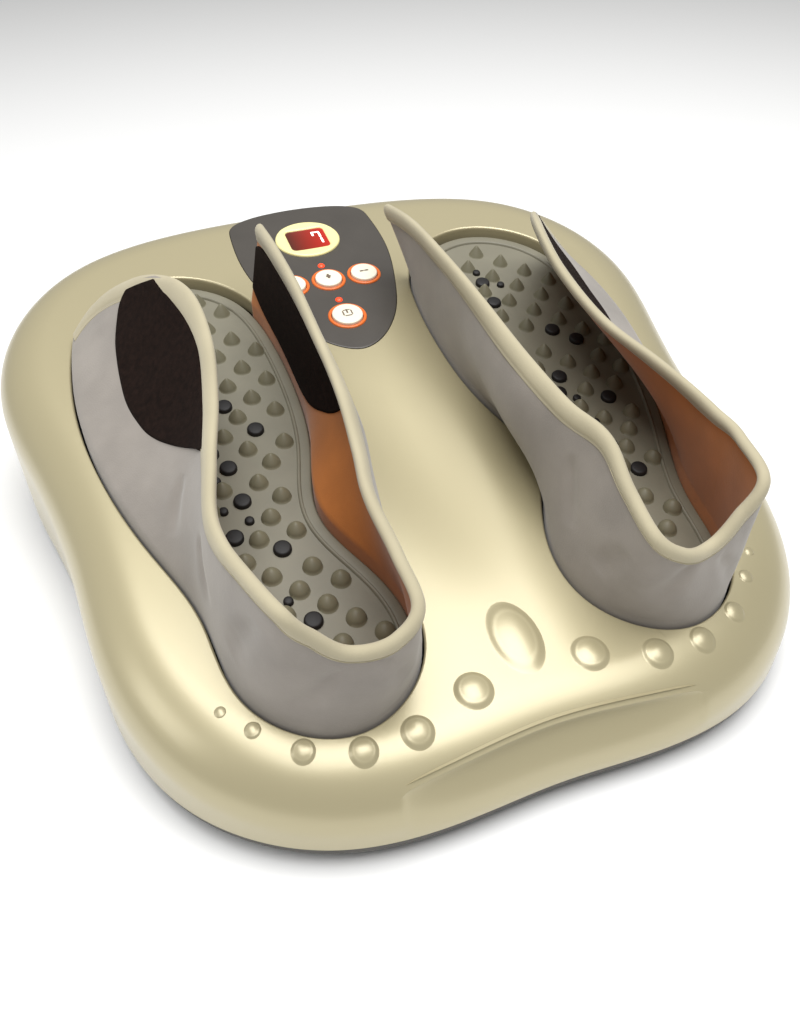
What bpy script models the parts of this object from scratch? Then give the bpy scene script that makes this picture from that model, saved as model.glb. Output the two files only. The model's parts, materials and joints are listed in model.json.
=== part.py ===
"""Foot massager: a sloping moulded case with a vibrating foot plate in each of two fabric sleeves.

Metres, +Z up, +X to the user's right, +Y from the heels to the toes. The origin is under the middle of the
case, on the surface that its rubber feet stand on. The deck slopes up towards the toes. The right foot is
described, and the left one is its mirror image.
"""

import math

import bmesh
import bpy
import numpy as np
from mathutils import Matrix

# Gaps
CLEARANCE = 0.0003
OVERRUN = 0.004
SINK = 0.0010
MERGE_DISTANCE = 0.00001

# Foot plates, and the case's margins round them
FOOT_LENGTH = 0.3126
FOOT_WIDTH = 0.1175
FEET_GAP = 0.082
SIDE_MARGIN = 0.0425
HEEL_MARGIN = 0.036
TOE_MARGIN = 0.0694
FOOT_X = (FEET_GAP + FOOT_WIDTH) / 2
FOOT_Y = (HEEL_MARGIN - TOE_MARGIN) / 2

# Case
CASE_WIDTH = FEET_GAP + 2 * (FOOT_WIDTH + SIDE_MARGIN)
CASE_DEPTH = FOOT_LENGTH + HEEL_MARGIN + TOE_MARGIN
CASE_FRONT_HEIGHT = 0.045
CASE_BACK_HEIGHT = 0.118
CASE_WALL = 0.0028
SHOULDER_INSET = 0.030
SHOULDER_DROP = 0.024
SPLIT_HEIGHT = 0.014
UNDERSIDE_HEIGHT = 0.003
UNDERSIDE_INSET = 0.009
TONGUE_HEIGHT = 0.003
TONGUE_WALL = 0.0018
# Half outline from the back to the front, as shares of half the width and half the depth
CASE_OUTLINE_SHARES = (
    (0, 1), (0.38, 0.985), (0.76, 0.865), (0.95, 0.64), (1, 0.41), (0.955, 0.13),
    (0.9, -0.2), (0.875, -0.5), (0.75, -0.79), (0.5, -0.965), (0.22, -1), (0, -0.992),
)
# Shallow hollow between the sleeves, and its rings as shares of its half width and length
HOLLOW_DEPTH = 0.0035
HOLLOW_HALF_WIDTH = 0.036
HOLLOW_HALF_LENGTH = 0.095
HOLLOW_Y = -0.040
HOLLOW_RING_SHARES = (0.25, 0.5, 0.75, 0.92)

# Scoop in the front edge
SCOOP_HALF_WIDTH = 0.072
SCOOP_HALF_HEIGHT = 0.020
SCOOP_HALF_DEPTH = 0.0155
SCOOP_HEIGHT = 0.040
SCOOP_REACH = 0.011

# Relief domes: places as shares of half the case's width and depth, and diameters
DOME_PLACES_SHARES = (
    (0.14, -0.833), (0.286, -0.878), (0.403, -0.88), (0.517, -0.842), (0.6, -0.77), (0.652, -0.713),
)
DOME_DIAMETERS = (0.017, 0.014, 0.012, 0.010, 0.007, 0.005)
DOME_HEIGHT_SHARE = 0.22
OVAL_WIDTH = 0.022
OVAL_LENGTH = 0.035
OVAL_HEIGHT = 0.0045
OVAL_Y_SHARE = -0.746
DOME_ROOT = 0.0022

# Foot plate and its well
# Right foot's outline from the toes round the big toe's side, as shares across and along the foot
FOOT_OUTLINE_SHARES = (
    (0.52, 1), (0.18, 0.935), (0.057, 0.79), (0.043, 0.645), (0.09, 0.5), (0.165, 0.36), (0.03, 0.22), (0.03, 0.077),
    (0.335, 0), (0.645, 0.077), (0.715, 0.22), (0.835, 0.36), (0.95, 0.51), (1, 0.65), (0.98, 0.8), (0.85, 0.936),
)
PLATE_DROP = 0.004
PLATE_RIM = 0.0065
PLATE_RIM_EDGE = 0.0012
PLATE_DISH = 0.001
PLATE_WALL = 0.0025
PLATE_SKIRT = 0.018
COLLAR_DEPTH = 0.008
COLLAR_WALL = 0.002

# Nubs, from round ones under the heel to pointed ones under the toes. Rows follow one another by these shares of
# the foot's length, and the nubs of a row by shares of its width that go with the share along the foot
NUB_FIRST_ROW_SHARE = 0.03
NUB_HEEL_ROW_SHARE = 0.0335
NUB_TOE_ROW_SHARE = 0.043
NUB_MIDDLE_SHARE = 0.438
NUB_PITCH_SHARES = ((0, 0.17), (0.25, 0.17), (0.41, 0.15), (0.7, 0.19), (1, 0.2))
NUB_STAGGER_SHARE = 0.5
NUB_EDGE_MARGIN = 0.011
NUB_HEEL_HEIGHT = 0.0046
NUB_TOE_HEIGHT = 0.0068
NUB_RADIUS = 0.0042
NUB_HEEL_TOP_SHARE = 0.6
NUB_TOE_TOP_SHARE = 0.22
# Magnets, as shares across and along the foot
MAGNET_PLACES_SHARES = (
    (0.392, 0.643), (0.291, 0.574), (0.463, 0.502), (0.452, 0.427), (0.361, 0.318), (0.343, 0.181), (0.461, 0.84),
    (0.65, 0.666), (0.738, 0.628), (0.518, 0.541), (0.684, 0.466), (0.582, 0.294), (0.45, 0.775), (0.53, 0.36),
)
MAGNET_RADIUS = 0.0040
MAGNET_HEIGHT = 0.0030

# Sleeve. Its edge runs along the foot's outline: share of the way round, then shares across and along the foot
# and of the height of the sleeve above the deck
FABRIC = 0.0024
SLEEVE_GAP = 0.0004
WELL_GAP = 0.0034
SLEEVE_RISE = 0.0035
SLEEVE_HEIGHT = 0.073
SLEEVE_EDGE_SHARES = (
    (0.091, -0.02, 0.925, 0.58), (0.14, -0.004, 0.795, 0.745), (0.1875, 0.004, 0.655, 0.84),
    (0.25, 0.027, 0.5, 0.885), (0.3125, 0.055, 0.355, 0.89), (0.36, 0.088, 0.25, 0.89), (0.411, 0.125, 0.145, 0.94),
    (0.44, 0.104, 0.075, 0.87), (0.46, 0.1, 0.006, 0.83), (0.48, 0.19, -0.012, 0.74), (0.505, 0.33, 0, 0.67),
    (0.53, 0.44, 0.006, 0.83), (0.55, 0.525, 0.012, 1), (0.575, 0.6, 0.1, 0.95), (0.61, 0.632, 0.175, 0.87),
    (0.6875, 0.575, 0.3, 0.845), (0.75, 0.492, 0.415, 0.825), (0.8125, 0.438, 0.53, 0.91),
    (0.87, 0.46, 0.63, 0.962), (0.909, 0.53, 0.705, 0.9),
)
FOLD_HEIGHT = 0.021
FOLD_THIN_SHARE = 0.45
# Front ends of the two folds, as shares across and along the foot
LATERAL_FOLD_FRONT_SHARES = (0.835, 0.862)
MEDIAL_FOLD_FRONT_SHARES = (0.045, 0.893)
# Rows of the sleeve from its base at 0, up through the fold, to its edge at 1
FOLD_ROW_SHARE = 0.3
FLAP_ROW_SHARES = (0.5, 0.75, 1)
HEM_DEPTH = 0.018
PATCH_THICKNESS = 0.0012
PATCH_GAP = 0.0006
# Fastening patches: rows of their lower and upper edge at columns counted back from the front of their flap
LOOP_PATCH_COLUMNS = (8.9, 8.4, 7, 6, 5, 4, 3, 2, 1, 0.5)
LOOP_PATCH_LOW_SHARES = (0.74, 0.6, 0.4, 0.31, 0.31, 0.31, 0.31, 0.36, 0.5, 0.62)
LOOP_PATCH_TOP_SHARE = 0.9
HOOK_PATCH_COLUMNS = (0.5, 1, 2, 3, 4, 5, 6, 7, 7.8)
HOOK_PATCH_LOW_SHARES = (0.34, 0.32, 0.31, 0.31, 0.31, 0.31, 0.31, 0.31, 0.36)
HOOK_PATCH_TOP_SHARE = 0.62
RETAINER_HEIGHT = 0.004
RETAINER_WIDTH = 0.003

# Rubber mounts under the foot plate, as shares across and along the foot
MOUNT_PLACES_SHARES = ((0.2, 0.13), (0.5, 0.13), (0.24, 0.84), (0.8, 0.84))
MOUNT_HEIGHT = 0.010
MOUNT_RADIUS = 0.007
MOUNT_WAIST_SHARE = 0.8
PLATE_BOSS_LENGTH = 0.006
PLATE_BOSS_RADIUS = 0.008
COLUMN_TOP_RADIUS = 0.008
COLUMN_BOTTOM_RADIUS = 0.010
PLATE_TRAVEL_DOWN = 0.002

# Motor under each plate, with its shaft along X
MOTOR_PLACE_SHARES = (0.47, 0.56)
MOTOR_DIAMETER = 0.024
MOTOR_LENGTH = 0.030
MOTOR_NECK_RADIUS = 0.005
MOTOR_NECK_LENGTH = 0.002
SHAFT_RADIUS = 0.0015
BRACKET_WALL = 0.002
BRACKET_WIDTH = 0.018
BRACKET_FLANGE = 0.007
WEIGHT_RADIUS = 0.010
WEIGHT_THICKNESS = 0.007
WEIGHT_GAP = 0.003

# Control panel, in its own frame: x, then v up the deck and w out of it
PANEL_WIDTH = 0.094
PANEL_LENGTH = 0.149
PANEL_TOE_MARGIN = 0.089
PANEL_Y = CASE_DEPTH / 2 - PANEL_TOE_MARGIN
PANEL_THICKNESS = 0.0016
PANEL_PROUD = 0.0004
PANEL_LEDGE = 0.004
PANEL_OUTLINE_SHARES = (
    (0, 1), (0.4, 0.985), (0.75, 0.935), (0.95, 0.85), (1, 0.72), (1, 0.2), (0.84, -0.27), (0.66, -0.6),
    (0.43, -0.83), (0.17, -0.97), (0, -1),
)
BUTTON_PITCH = 0.0232
BUTTON_ROW_V = -0.0075
BUTTON_DIAMETER = 0.0165
LOWER_BUTTON_V = -0.0445
LOWER_BUTTON_DIAMETER = 0.0185
BUTTON_RISE = 0.0028
BUTTON_EDGE = 0.0008
BUTTON_FLANGE = 0.0008
BUTTON_FLANGE_THICKNESS = 0.0010
BUTTON_STEM_RADIUS = 0.002
BUTTON_TRAVEL = 0.0012
RING_WIDTH = 0.0018
RING_RISE = 0.0012
LAMP_RADIUS = 0.0022
LAMP_RISE = 0.0012
LAMP_DISTANCE = 0.0050
LAMP_TURN = 0.26
DISPLAY_V = 0.0375
DISPLAY_WIDTH = 0.042
DISPLAY_LENGTH = 0.038
DISPLAY_RISE = 0.0014
WINDOW_WIDTH = 0.030
WINDOW_LENGTH = 0.022
WINDOW_CORNER = 0.003
BOARD_DEPTH = 0.0110
BOARD_THICKNESS = 0.0016
BOARD_MARGIN = 0.0065
SWITCH_SIZE = 0.006
SWITCH_HEIGHT = 0.0035
POST_RADIUS = 0.0025
# Posts that carry the control board, as shares of the panel's half width and half length
POST_PLACES_SHARES = ((0.6, 0.12), (0.36, -0.62))

# Case screws, as shares of half the case's width and depth, and their bosses
SCREW_PLACES_SHARES = ((0.721, -0.67), (0.9, 0.392), (0.423, 0.842))
SCREW_RADIUS = 0.0015
SCREW_LENGTH = 0.016
SCREW_HEAD_RADIUS = 0.004
SCREW_HEAD_HEIGHT = 0.0022
SCREW_WEB = 0.006
PILOT_GAP = 0.0003
BOSS_RADIUS = 0.0055

# Rubber feet, as shares of half the case's width and depth
FOOT_PAD_PLACES_SHARES = ((0.597, -0.756), (0.721, 0.67))
FOOT_PAD_RADIUS = 0.013
FOOT_PAD_EDGE = 0.0008

# Tray ribs and vents
RIB_THICKNESS = 0.002
RIB_HEIGHT = 0.006
RIB_LENGTH = 0.300
RIB_PLACES_Y = (-0.095, -0.045, 0.060)
VENT_COUNT = 5
VENT_PITCH = 0.009
VENT_WIDTH = 0.0035
VENT_LENGTH = 0.040

# Power supply
POWER_Y = 0.080
POWER_BOARD_WIDTH = 0.056
POWER_BOARD_LENGTH = 0.100
POWER_BOARD_RISE = 0.009
POWER_POST_RADIUS = 0.003
POWER_POST_INSET = 0.005
TRANSFORMER_WIDTH = 0.036
TRANSFORMER_LENGTH = 0.042
TRANSFORMER_HEIGHT = 0.028
TRANSFORMER_Y = 0.056
BOBBIN_OVERHANG = 0.004
CAPACITOR_RADIUS = 0.006
CAPACITOR_HEIGHT = 0.020
CAPACITOR_X = 0.014
CAPACITOR_Y = 0.100
INLET_WIDTH = 0.026
INLET_HEIGHT = 0.016
INLET_DEPTH = 0.022
INLET_Z = 0.034
INLET_SETBACK = 0.0006
SOCKET_WIDTH = 0.017
SOCKET_HEIGHT = 0.0085
SOCKET_DEPTH = 0.015
SOCKET_PIN_RADIUS = 0.0011
SOCKET_PIN_SPACING = 0.0092
SOCKET_PIN_LENGTH = 0.010

# Numbers of sides
CASE_STEPS = 44
SHOULDER_STEPS = 4
UNDERSIDE_STEPS = 3
FOOT_STEPS = 44
PANEL_STEPS = 32
ROUND_STEPS = 14
DOME_STEPS = 10
SMALL_STEPS = 8
MAGNET_STEPS = 6
NUB_STEPS = 5
NUB_COLUMNS = 4
# Columns of the sleeve, counted round the foot's outline
MEDIAL_FRONT_COLUMN = 4
MEDIAL_SEAM_COLUMN = 18
LATERAL_SEAM_COLUMN = 26
LATERAL_FRONT_COLUMN = 40

SLOPE = (CASE_BACK_HEIGHT - CASE_FRONT_HEIGHT) / CASE_DEPTH
TILT = math.atan(SLOPE)
FLOOR_HEIGHT = UNDERSIDE_HEIGHT + CASE_WALL

FINISHES = {
    "champagne_paint": ((0.58, 0.50, 0.30), 0.28, 0.55),
    "grey_tray_plastic": ((0.20, 0.19, 0.17), 0.55, 0),
    "rubber": ((0.02, 0.02, 0.02), 0.85, 0),
    "zinc_plated_steel": ((0.55, 0.56, 0.57), 0.35, 1),
    "olive_plate_plastic": ((0.17, 0.15, 0.11), 0.45, 0),
    "grey_sleeve_fabric": ((0.30, 0.27, 0.24), 0.9, 0),
    "dark_hook_and_loop": ((0.012, 0.007, 0.005), 0.95, 0),
    "retainer_plastic": ((0.06, 0.06, 0.06), 0.6, 0),
    "motor_steel": ((0.45, 0.45, 0.44), 0.35, 1),
    "sintered_weight": ((0.25, 0.25, 0.26), 0.4, 1),
    "panel_plastic": ((0.060, 0.052, 0.045), 0.4, 0),
    "yellow_bezel": ((0.85, 0.78, 0.38), 0.35, 0),
    "smoked_red_window": ((0.30, 0.01, 0.01), 0.15, 0),
    "black_display": ((0.02, 0.004, 0.004), 0.4, 0),
    "cream_button": ((0.80, 0.77, 0.66), 0.35, 0),
    "orange_ring": ((0.80, 0.20, 0.04), 0.35, 0),
    "red_lamp": ((0.80, 0.06, 0.02), 0.25, 0),
    "green_board": ((0.02, 0.16, 0.06), 0.5, 0),
    "transformer_core": ((0.12, 0.12, 0.12), 0.5, 0.6),
    "black_inlet_plastic": ((0.02, 0.02, 0.02), 0.45, 0),
}


def new_collection(name):
    """An empty collection in the scene."""
    made = bpy.data.collections.new(name)
    bpy.context.scene.collection.children.link(made)
    return made


def finish(name):
    """The named finish as a material with a Principled BSDF."""
    material = bpy.data.materials.get(name)
    if material is None:
        colour, roughness, metallic = FINISHES[name]
        material = bpy.data.materials.new(name)
        material.use_nodes = True
        shader = material.node_tree.nodes["Principled BSDF"]
        shader.inputs["Base Color"].default_value = (*colour, 1)
        shader.inputs["Roughness"].default_value = roughness
        shader.inputs["Metallic"].default_value = metallic
        material.diffuse_color = (*colour, 1)
    return material


def deck_height(y):
    """Height of the sloping deck at y."""
    return (CASE_FRONT_HEIGHT + CASE_BACK_HEIGHT) / 2 + SLOPE * y


def below_deck(drop):
    """Heights this far under the deck, at each point of a loop."""
    return lambda loop: deck_height(loop[:, 1]) - drop


def smooth_loop(points, steps):
    """Closed cubic spline through the points, read at even steps of its chord length."""
    points = np.asarray(points, float)
    count = len(points)
    ahead = np.roll(points, -1, axis=0) - points
    chord = np.linalg.norm(ahead, axis=1)
    before = np.roll(chord, 1)
    grade = ahead / chord[:, None]
    rows = np.arange(count)
    system = np.zeros((count, count))
    system[rows, rows] = 2 * (chord + before)
    system[rows, (rows + 1) % count] = chord
    system[rows, (rows - 1) % count] = before
    bend = np.linalg.solve(system, 6 * (grade - np.roll(grade, 1, axis=0)))
    knots = np.concatenate([[0], np.cumsum(chord)])
    at = np.linspace(0, knots[-1], steps, endpoint=False)
    i = np.clip(np.searchsorted(knots, at, side="right") - 1, 0, count - 1)
    j = (i + 1) % count
    span = chord[i][:, None]
    done = at[:, None] - knots[i][:, None]
    left = span - done
    return (
        (bend[i] * left**3 + bend[j] * done**3) / (6 * span)
        + (points[i] / span - bend[i] * span / 6) * left
        + (points[j] / span - bend[j] * span / 6) * done
    )


def smooth_through(knots, values, at):
    """Cubic Hermite curve through the values, with each tangent taken from its neighbours."""
    tangents = np.gradient(values, knots, axis=0)
    i = np.clip(np.searchsorted(knots, at, side="right") - 1, 0, len(knots) - 2)
    span = (knots[i + 1] - knots[i])[:, None]
    u = ((at - knots[i]) / span[:, 0])[:, None]
    return (
        (2 * u**3 - 3 * u**2 + 1) * values[i]
        + (u**3 - 2 * u**2 + u) * span * tangents[i]
        + (3 * u**2 - 2 * u**3) * values[i + 1]
        + (u**3 - u**2) * span * tangents[i + 1]
    )


def both_halves(half):
    """A symmetric closed outline, counterclockwise, from its right half, which runs from the back to the front."""
    left = [(-x, y) for x, y in half if x > 0]
    return half[::-1] + left


def offset_loop(loop, distance):
    """A counterclockwise loop moved outwards by a distance."""
    along = np.roll(loop, -1, axis=0) - np.roll(loop, 1, axis=0)
    outward = np.stack([along[:, 1], -along[:, 0]], axis=1)
    return loop + distance * outward / np.linalg.norm(outward, axis=1, keepdims=True)


def circle(x, y, radius, steps):
    """A counterclockwise circle."""
    angle = np.arange(steps) * 2 * math.pi / steps
    return np.stack([x + radius * np.cos(angle), y + radius * np.sin(angle)], axis=1)


def rectangle(x, y, width, length):
    """A counterclockwise rectangle round its middle."""
    corners = np.array([(-1, -1), (1, -1), (1, 1), (-1, 1)])
    return corners * (width / 2, length / 2) + (x, y)


def rounded_rectangle(x, y, width, length, radius, steps):
    """A counterclockwise rectangle with round corners."""
    turns = np.arange(steps + 1) * math.pi / 2 / steps
    arc = np.stack([np.cos(turns), np.sin(turns)], axis=1) * radius
    corner = arc + (width / 2 - radius, length / 2 - radius)
    quarter = corner[::-1] * (-1, 1)
    half = np.concatenate([corner, quarter])
    return np.concatenate([half, -half]) + (x, y)


def ring(loop, height):
    """A loop at one height, or at the heights that a function of the loop gives."""
    level = height(loop) if callable(height) else np.full(len(loop), height)
    return np.column_stack([loop, level])


def loft(shape, rings, closed=False):
    """Skins rings of equal count, each counterclockwise and above or inside the last, and caps or joins the ends."""
    levels = [[shape.verts.new(point) for point in points] for points in rings]
    if closed:
        levels.append(levels[0])
    for low, high in zip(levels, levels[1:]):
        for i in range(len(low)):
            shape.faces.new((low[i - 1], low[i], high[i], high[i - 1]))
    if not closed:
        shape.faces.new(levels[0][::-1])
        shape.faces.new(levels[-1])


def new_object(name, shape, finish_name, parent=None):
    """An object of the product from a finished bmesh."""
    mesh = bpy.data.meshes.new(name)
    shape.to_mesh(mesh)
    shape.free()
    return place_object(name, mesh, finish_name, parent)


def place_object(name, mesh, finish_name, parent=None):
    """Links a mesh as a smooth-shaded object, with a finish on a part and none on a cutter."""
    made = bpy.data.objects.new(name, mesh)
    mesh.shade_smooth()
    mesh.set_sharp_from_angle(angle=math.radians(35))
    made.parent = parent
    if finish_name is None:
        cutters.objects.link(made)
        made.hide_render = True
        made.display_type = "WIRE"
    else:
        parts.objects.link(made)
        mesh.materials.append(finish(finish_name))
    return made


def solid(name, lofts, finish_name=None, parent=None):
    """An object from one or more closed lofts."""
    shape = bmesh.new()
    for rings in lofts:
        loft(shape, rings)
    return new_object(name, shape, finish_name, parent)


def hoop(name, rings, finish_name=None, parent=None):
    """A closed band, from rings that go up its outside and down its inside."""
    shape = bmesh.new()
    loft(shape, rings, closed=True)
    return new_object(name, shape, finish_name, parent)


def turned(name, profile, finish_name=None, parent=None, steps=ROUND_STEPS, bored=False):
    """A turned piece round Z. The profile runs down its outer side, and a bored one closes on itself."""
    mesh = bpy.data.meshes.new(name)
    edges = [(i, i + 1) for i in range(len(profile) - 1)]
    if bored:
        edges.append((len(profile) - 1, 0))
    mesh.from_pydata([(radius, 0, height) for radius, height in profile], edges, [])
    made = place_object(name, mesh, finish_name, parent)
    turn = made.modifiers.new("Turn", "SCREW")
    turn.steps = steps
    turn.render_steps = steps
    turn.use_merge_vertices = True
    turn.merge_threshold = MERGE_DISTANCE
    return made


def boolean(target, cutter, operation):
    """Joins a solid to the target, or cuts it from the target."""
    modifier = target.modifiers.new(cutter.name, "BOOLEAN")
    modifier.object = cutter
    modifier.operation = operation


def empty(name, location, tilt=0, parent=None):
    """A frame or a joint's place."""
    made = bpy.data.objects.new(name, None)
    made.location = location
    made.rotation_euler = (tilt, 0, 0)
    made.parent = parent
    parts.objects.link(made)
    return made


def carry(holder, *pieces):
    """Parents pieces that are drawn in world coordinates to an unturned empty."""
    for piece in pieces:
        piece.parent = holder
        piece.matrix_parent_inverse = Matrix.Translation(holder.location).inverted()


def post(x, y, radius, low, high, top_radius=None, steps=SMALL_STEPS):
    """Rings of an upright round post."""
    return [
        ring(circle(x, y, radius, steps), low),
        ring(circle(x, y, radius if top_radius is None else top_radius, steps), high),
    ]


def block(x, y, width, length, low, high):
    """Rings of an upright box."""
    loop = rectangle(x, y, width, length)
    return [ring(loop, low), ring(loop, high)]


def both_sides(places):
    """Places on the right and their mirror images on the left."""
    return [(side * x, y) for x, y in places for side in (1, -1)]


def case_point(across, along):
    """A place given by shares of half the case's width and depth."""
    return across * CASE_WIDTH / 2, along * CASE_DEPTH / 2


def screw_places():
    """Places of the case screws on both sides."""
    return both_sides([case_point(*share) for share in SCREW_PLACES_SHARES])


def case_outline():
    """The case's outline, counterclockwise."""
    half = [case_point(*share) for share in CASE_OUTLINE_SHARES]
    return smooth_loop(both_halves(half), CASE_STEPS)


def foot_outline():
    """The right foot plate's outline, counterclockwise from the toes."""
    return smooth_loop([foot_point(*share) for share in FOOT_OUTLINE_SHARES], FOOT_STEPS)


def foot_point(across, along):
    """A place given by shares across and along the right foot."""
    return FOOT_X + (across - 0.5) * FOOT_WIDTH, FOOT_Y + (along - 0.5) * FOOT_LENGTH


def foot_loop(side, offset=0):
    """The foot's outline on one side, moved outwards."""
    loop = offset_loop(foot_outline(), offset)
    return loop if side > 0 else loop[::-1] * (-1, 1)


def on_deck(x, y, loops, drop=0):
    """Rings from loops and their levels, square to the deck at a place and this far below it."""
    rings = []
    for loop, level in loops:
        along = loop[:, 1] * math.cos(TILT) - level * math.sin(TILT)
        rise = loop[:, 1] * math.sin(TILT) + level * math.cos(TILT)
        rings.append(np.column_stack([x + loop[:, 0], y + along, deck_height(y) - drop + rise]))
    return rings


def hollow_rings(wall):
    """Rings of the dip between the sleeves, deepest in the middle and level at its edge, this far under the deck."""
    loops = []
    for share in HOLLOW_RING_SHARES:
        loop = circle(0, 0, share, ROUND_STEPS) * (HOLLOW_HALF_WIDTH, HOLLOW_HALF_LENGTH)
        loops.append((loop, -wall - HOLLOW_DEPTH * (1 - share**2) ** 2))
    loops.append((loop, OVERRUN - wall))
    return on_deck(0, HOLLOW_Y, loops)


def cover_rings(wall):
    """Rings of the top cover's skin, this far inside its outer face: a wall, an elliptical shoulder and the deck."""
    outline = offset_loop(case_outline(), -wall)
    bottom = SPLIT_HEIGHT if wall == 0 else SPLIT_HEIGHT - OVERRUN
    rings = [ring(outline, bottom)]
    inset = SHOULDER_INSET - wall
    drop = SHOULDER_DROP - wall
    for step in range(SHOULDER_STEPS + 1):
        turn = math.pi / 2 * step / SHOULDER_STEPS
        loop = offset_loop(outline, -inset * (1 - math.cos(turn)))
        rings.append(ring(loop, below_deck(wall + drop * (1 - math.sin(turn)))))
    return rings


def cover_height(x, y, wall):
    """Height of the top cover's skin at a place."""
    outline = case_outline()
    along = np.roll(outline, -1, axis=0) - outline
    part = ((np.array([x, y]) - outline) * along).sum(axis=1) / (along**2).sum(axis=1)
    nearest = outline + np.clip(part, 0, 1)[:, None] * along
    distance = np.linalg.norm(nearest - (x, y), axis=1).min()
    turn = math.acos(max(0, 1 - distance / SHOULDER_INSET))
    return deck_height(y) - SHOULDER_DROP * (1 - math.sin(turn)) - wall


def column_height(x, y):
    """Height at which a screw column ends, within the lowest part of the skin over it."""
    return min(cover_height(*place, CASE_WALL / 2) for place in circle(x, y, BOSS_RADIUS, SMALL_STEPS))


def scoop_cutter(name, wall):
    """The round bottom of the front scoop, and the same grown by a wall for the inside."""
    shape = bmesh.new()
    bmesh.ops.create_uvsphere(shape, u_segments=24, v_segments=12, radius=1)
    size = (SCOOP_HALF_WIDTH + wall, SCOOP_HALF_DEPTH + wall, SCOOP_HALF_HEIGHT + wall)
    bmesh.ops.scale(shape, vec=size, verts=shape.verts)
    place = (0, SCOOP_REACH - SCOOP_HALF_DEPTH - CASE_DEPTH / 2, SCOOP_HEIGHT)
    bmesh.ops.translate(shape, vec=place, verts=shape.verts)
    return new_object(name, shape, None)


def dome_rings(x, y, half_width, half_length, height):
    """Rings of a low dome that stands square to the deck."""
    loops = []
    for turn in (math.pi / 9, math.pi / 3):
        loop = circle(0, 0, math.cos(turn), DOME_STEPS) * (half_width, half_length)
        loops.append((loop, height * math.sin(turn)))
    loops.insert(0, (loops[0][0], -DOME_ROOT))
    return on_deck(x, y, loops, deck_height(y) - cover_height(x, y, 0))


def relief_domes():
    """The oval dome and the six pairs of round ones."""
    domes = [dome_rings(*case_point(0, OVAL_Y_SHARE), OVAL_WIDTH / 2, OVAL_LENGTH / 2, OVAL_HEIGHT)]
    for share, diameter in zip(DOME_PLACES_SHARES, DOME_DIAMETERS):
        for x, y in both_sides([case_point(*share)]):
            domes.append(dome_rings(x, y, diameter / 2, diameter / 2, diameter * DOME_HEIGHT_SHARE))
    return solid("relief_domes", domes)


def panel_loop(offset=0):
    """The control panel's outline in its own frame."""
    half = [(x * PANEL_WIDTH / 2, v * PANEL_LENGTH / 2) for x, v in PANEL_OUTLINE_SHARES]
    return offset_loop(smooth_loop(both_halves(half), PANEL_STEPS), offset)


def make_top_cover(panel_frame):
    """The moulded deck with its shoulder, wells, scoop, domes, panel pocket, screw columns and inlet hole."""
    cover = solid("top_cover", [cover_rings(0)], "champagne_paint")
    boolean(cover, scoop_cutter("front_scoop", 0), "DIFFERENCE")
    cavity = solid("cover_cavity", [cover_rings(CASE_WALL)])
    boolean(cavity, scoop_cutter("front_scoop_backing", CASE_WALL), "DIFFERENCE")
    boolean(cover, solid("deck_hollow", [hollow_rings(0)]), "DIFFERENCE")
    boolean(cavity, solid("deck_hollow_backing", [hollow_rings(CASE_WALL)]), "DIFFERENCE")
    boolean(cover, cavity, "DIFFERENCE")
    boolean(cover, relief_domes(), "UNION")
    collars = bmesh.new()
    for side in (1, -1):
        outer = foot_loop(side, WELL_GAP + COLLAR_WALL)
        inner = foot_loop(side, WELL_GAP - SINK)
        top = below_deck(SINK)
        low = below_deck(COLLAR_DEPTH)
        loft(collars, [ring(outer, low), ring(outer, top), ring(inner, top), ring(inner, low)], closed=True)
    boolean(cover, new_object("well_collars", collars, None), "UNION")
    foot = SPLIT_HEIGHT - CLEARANCE / 2
    columns = [post(x, y, BOSS_RADIUS, foot, column_height(x, y)) for x, y in screw_places()]
    boolean(cover, solid("screw_columns", columns), "UNION")
    wells = [
        [ring(foot_loop(side, WELL_GAP), below_deck(COLLAR_DEPTH + OVERRUN)),
         ring(foot_loop(side, WELL_GAP), below_deck(-OVERRUN))]
        for side in (1, -1)
    ]
    boolean(cover, solid("foot_wells", wells), "DIFFERENCE")
    floor = PANEL_PROUD - PANEL_THICKNESS - CLEARANCE
    pocket = [ring(panel_loop(CLEARANCE), floor), ring(panel_loop(CLEARANCE), OVERRUN)]
    boolean(cover, solid("panel_pocket", [pocket], parent=panel_frame), "DIFFERENCE")
    hole = [ring(panel_loop(-PANEL_LEDGE), -OVERRUN - CASE_WALL), ring(panel_loop(-PANEL_LEDGE), OVERRUN)]
    boolean(cover, solid("panel_hole", [hole], parent=panel_frame), "DIFFERENCE")
    width = INLET_WIDTH + 2 * CLEARANCE
    height = INLET_HEIGHT / 2 + CLEARANCE
    slot = block(0, CASE_DEPTH / 2, width, 2 * INLET_DEPTH, INLET_Z - height, INLET_Z + height)
    boolean(cover, solid("inlet_hole", [slot]), "DIFFERENCE")
    pilots = [
        post(x, y, SCREW_RADIUS + PILOT_GAP, SPLIT_HEIGHT - SINK, SPLIT_HEIGHT + SCREW_LENGTH, steps=SMALL_STEPS)
        for x, y in screw_places()
    ]
    boolean(cover, solid("pilot_holes", pilots), "DIFFERENCE")


def tray_rings():
    """Rings of the tray's outer face, rounded from its underside up to the parting line."""
    outline = case_outline()
    rise = SPLIT_HEIGHT - CLEARANCE - UNDERSIDE_HEIGHT
    rings = []
    for step in range(UNDERSIDE_STEPS + 1):
        turn = math.pi / 2 * step / UNDERSIDE_STEPS
        inset = UNDERSIDE_INSET * (1 - math.sin(turn))
        rings.append(ring(offset_loop(outline, -inset), UNDERSIDE_HEIGHT + rise * (1 - math.cos(turn))))
    return rings


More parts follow.
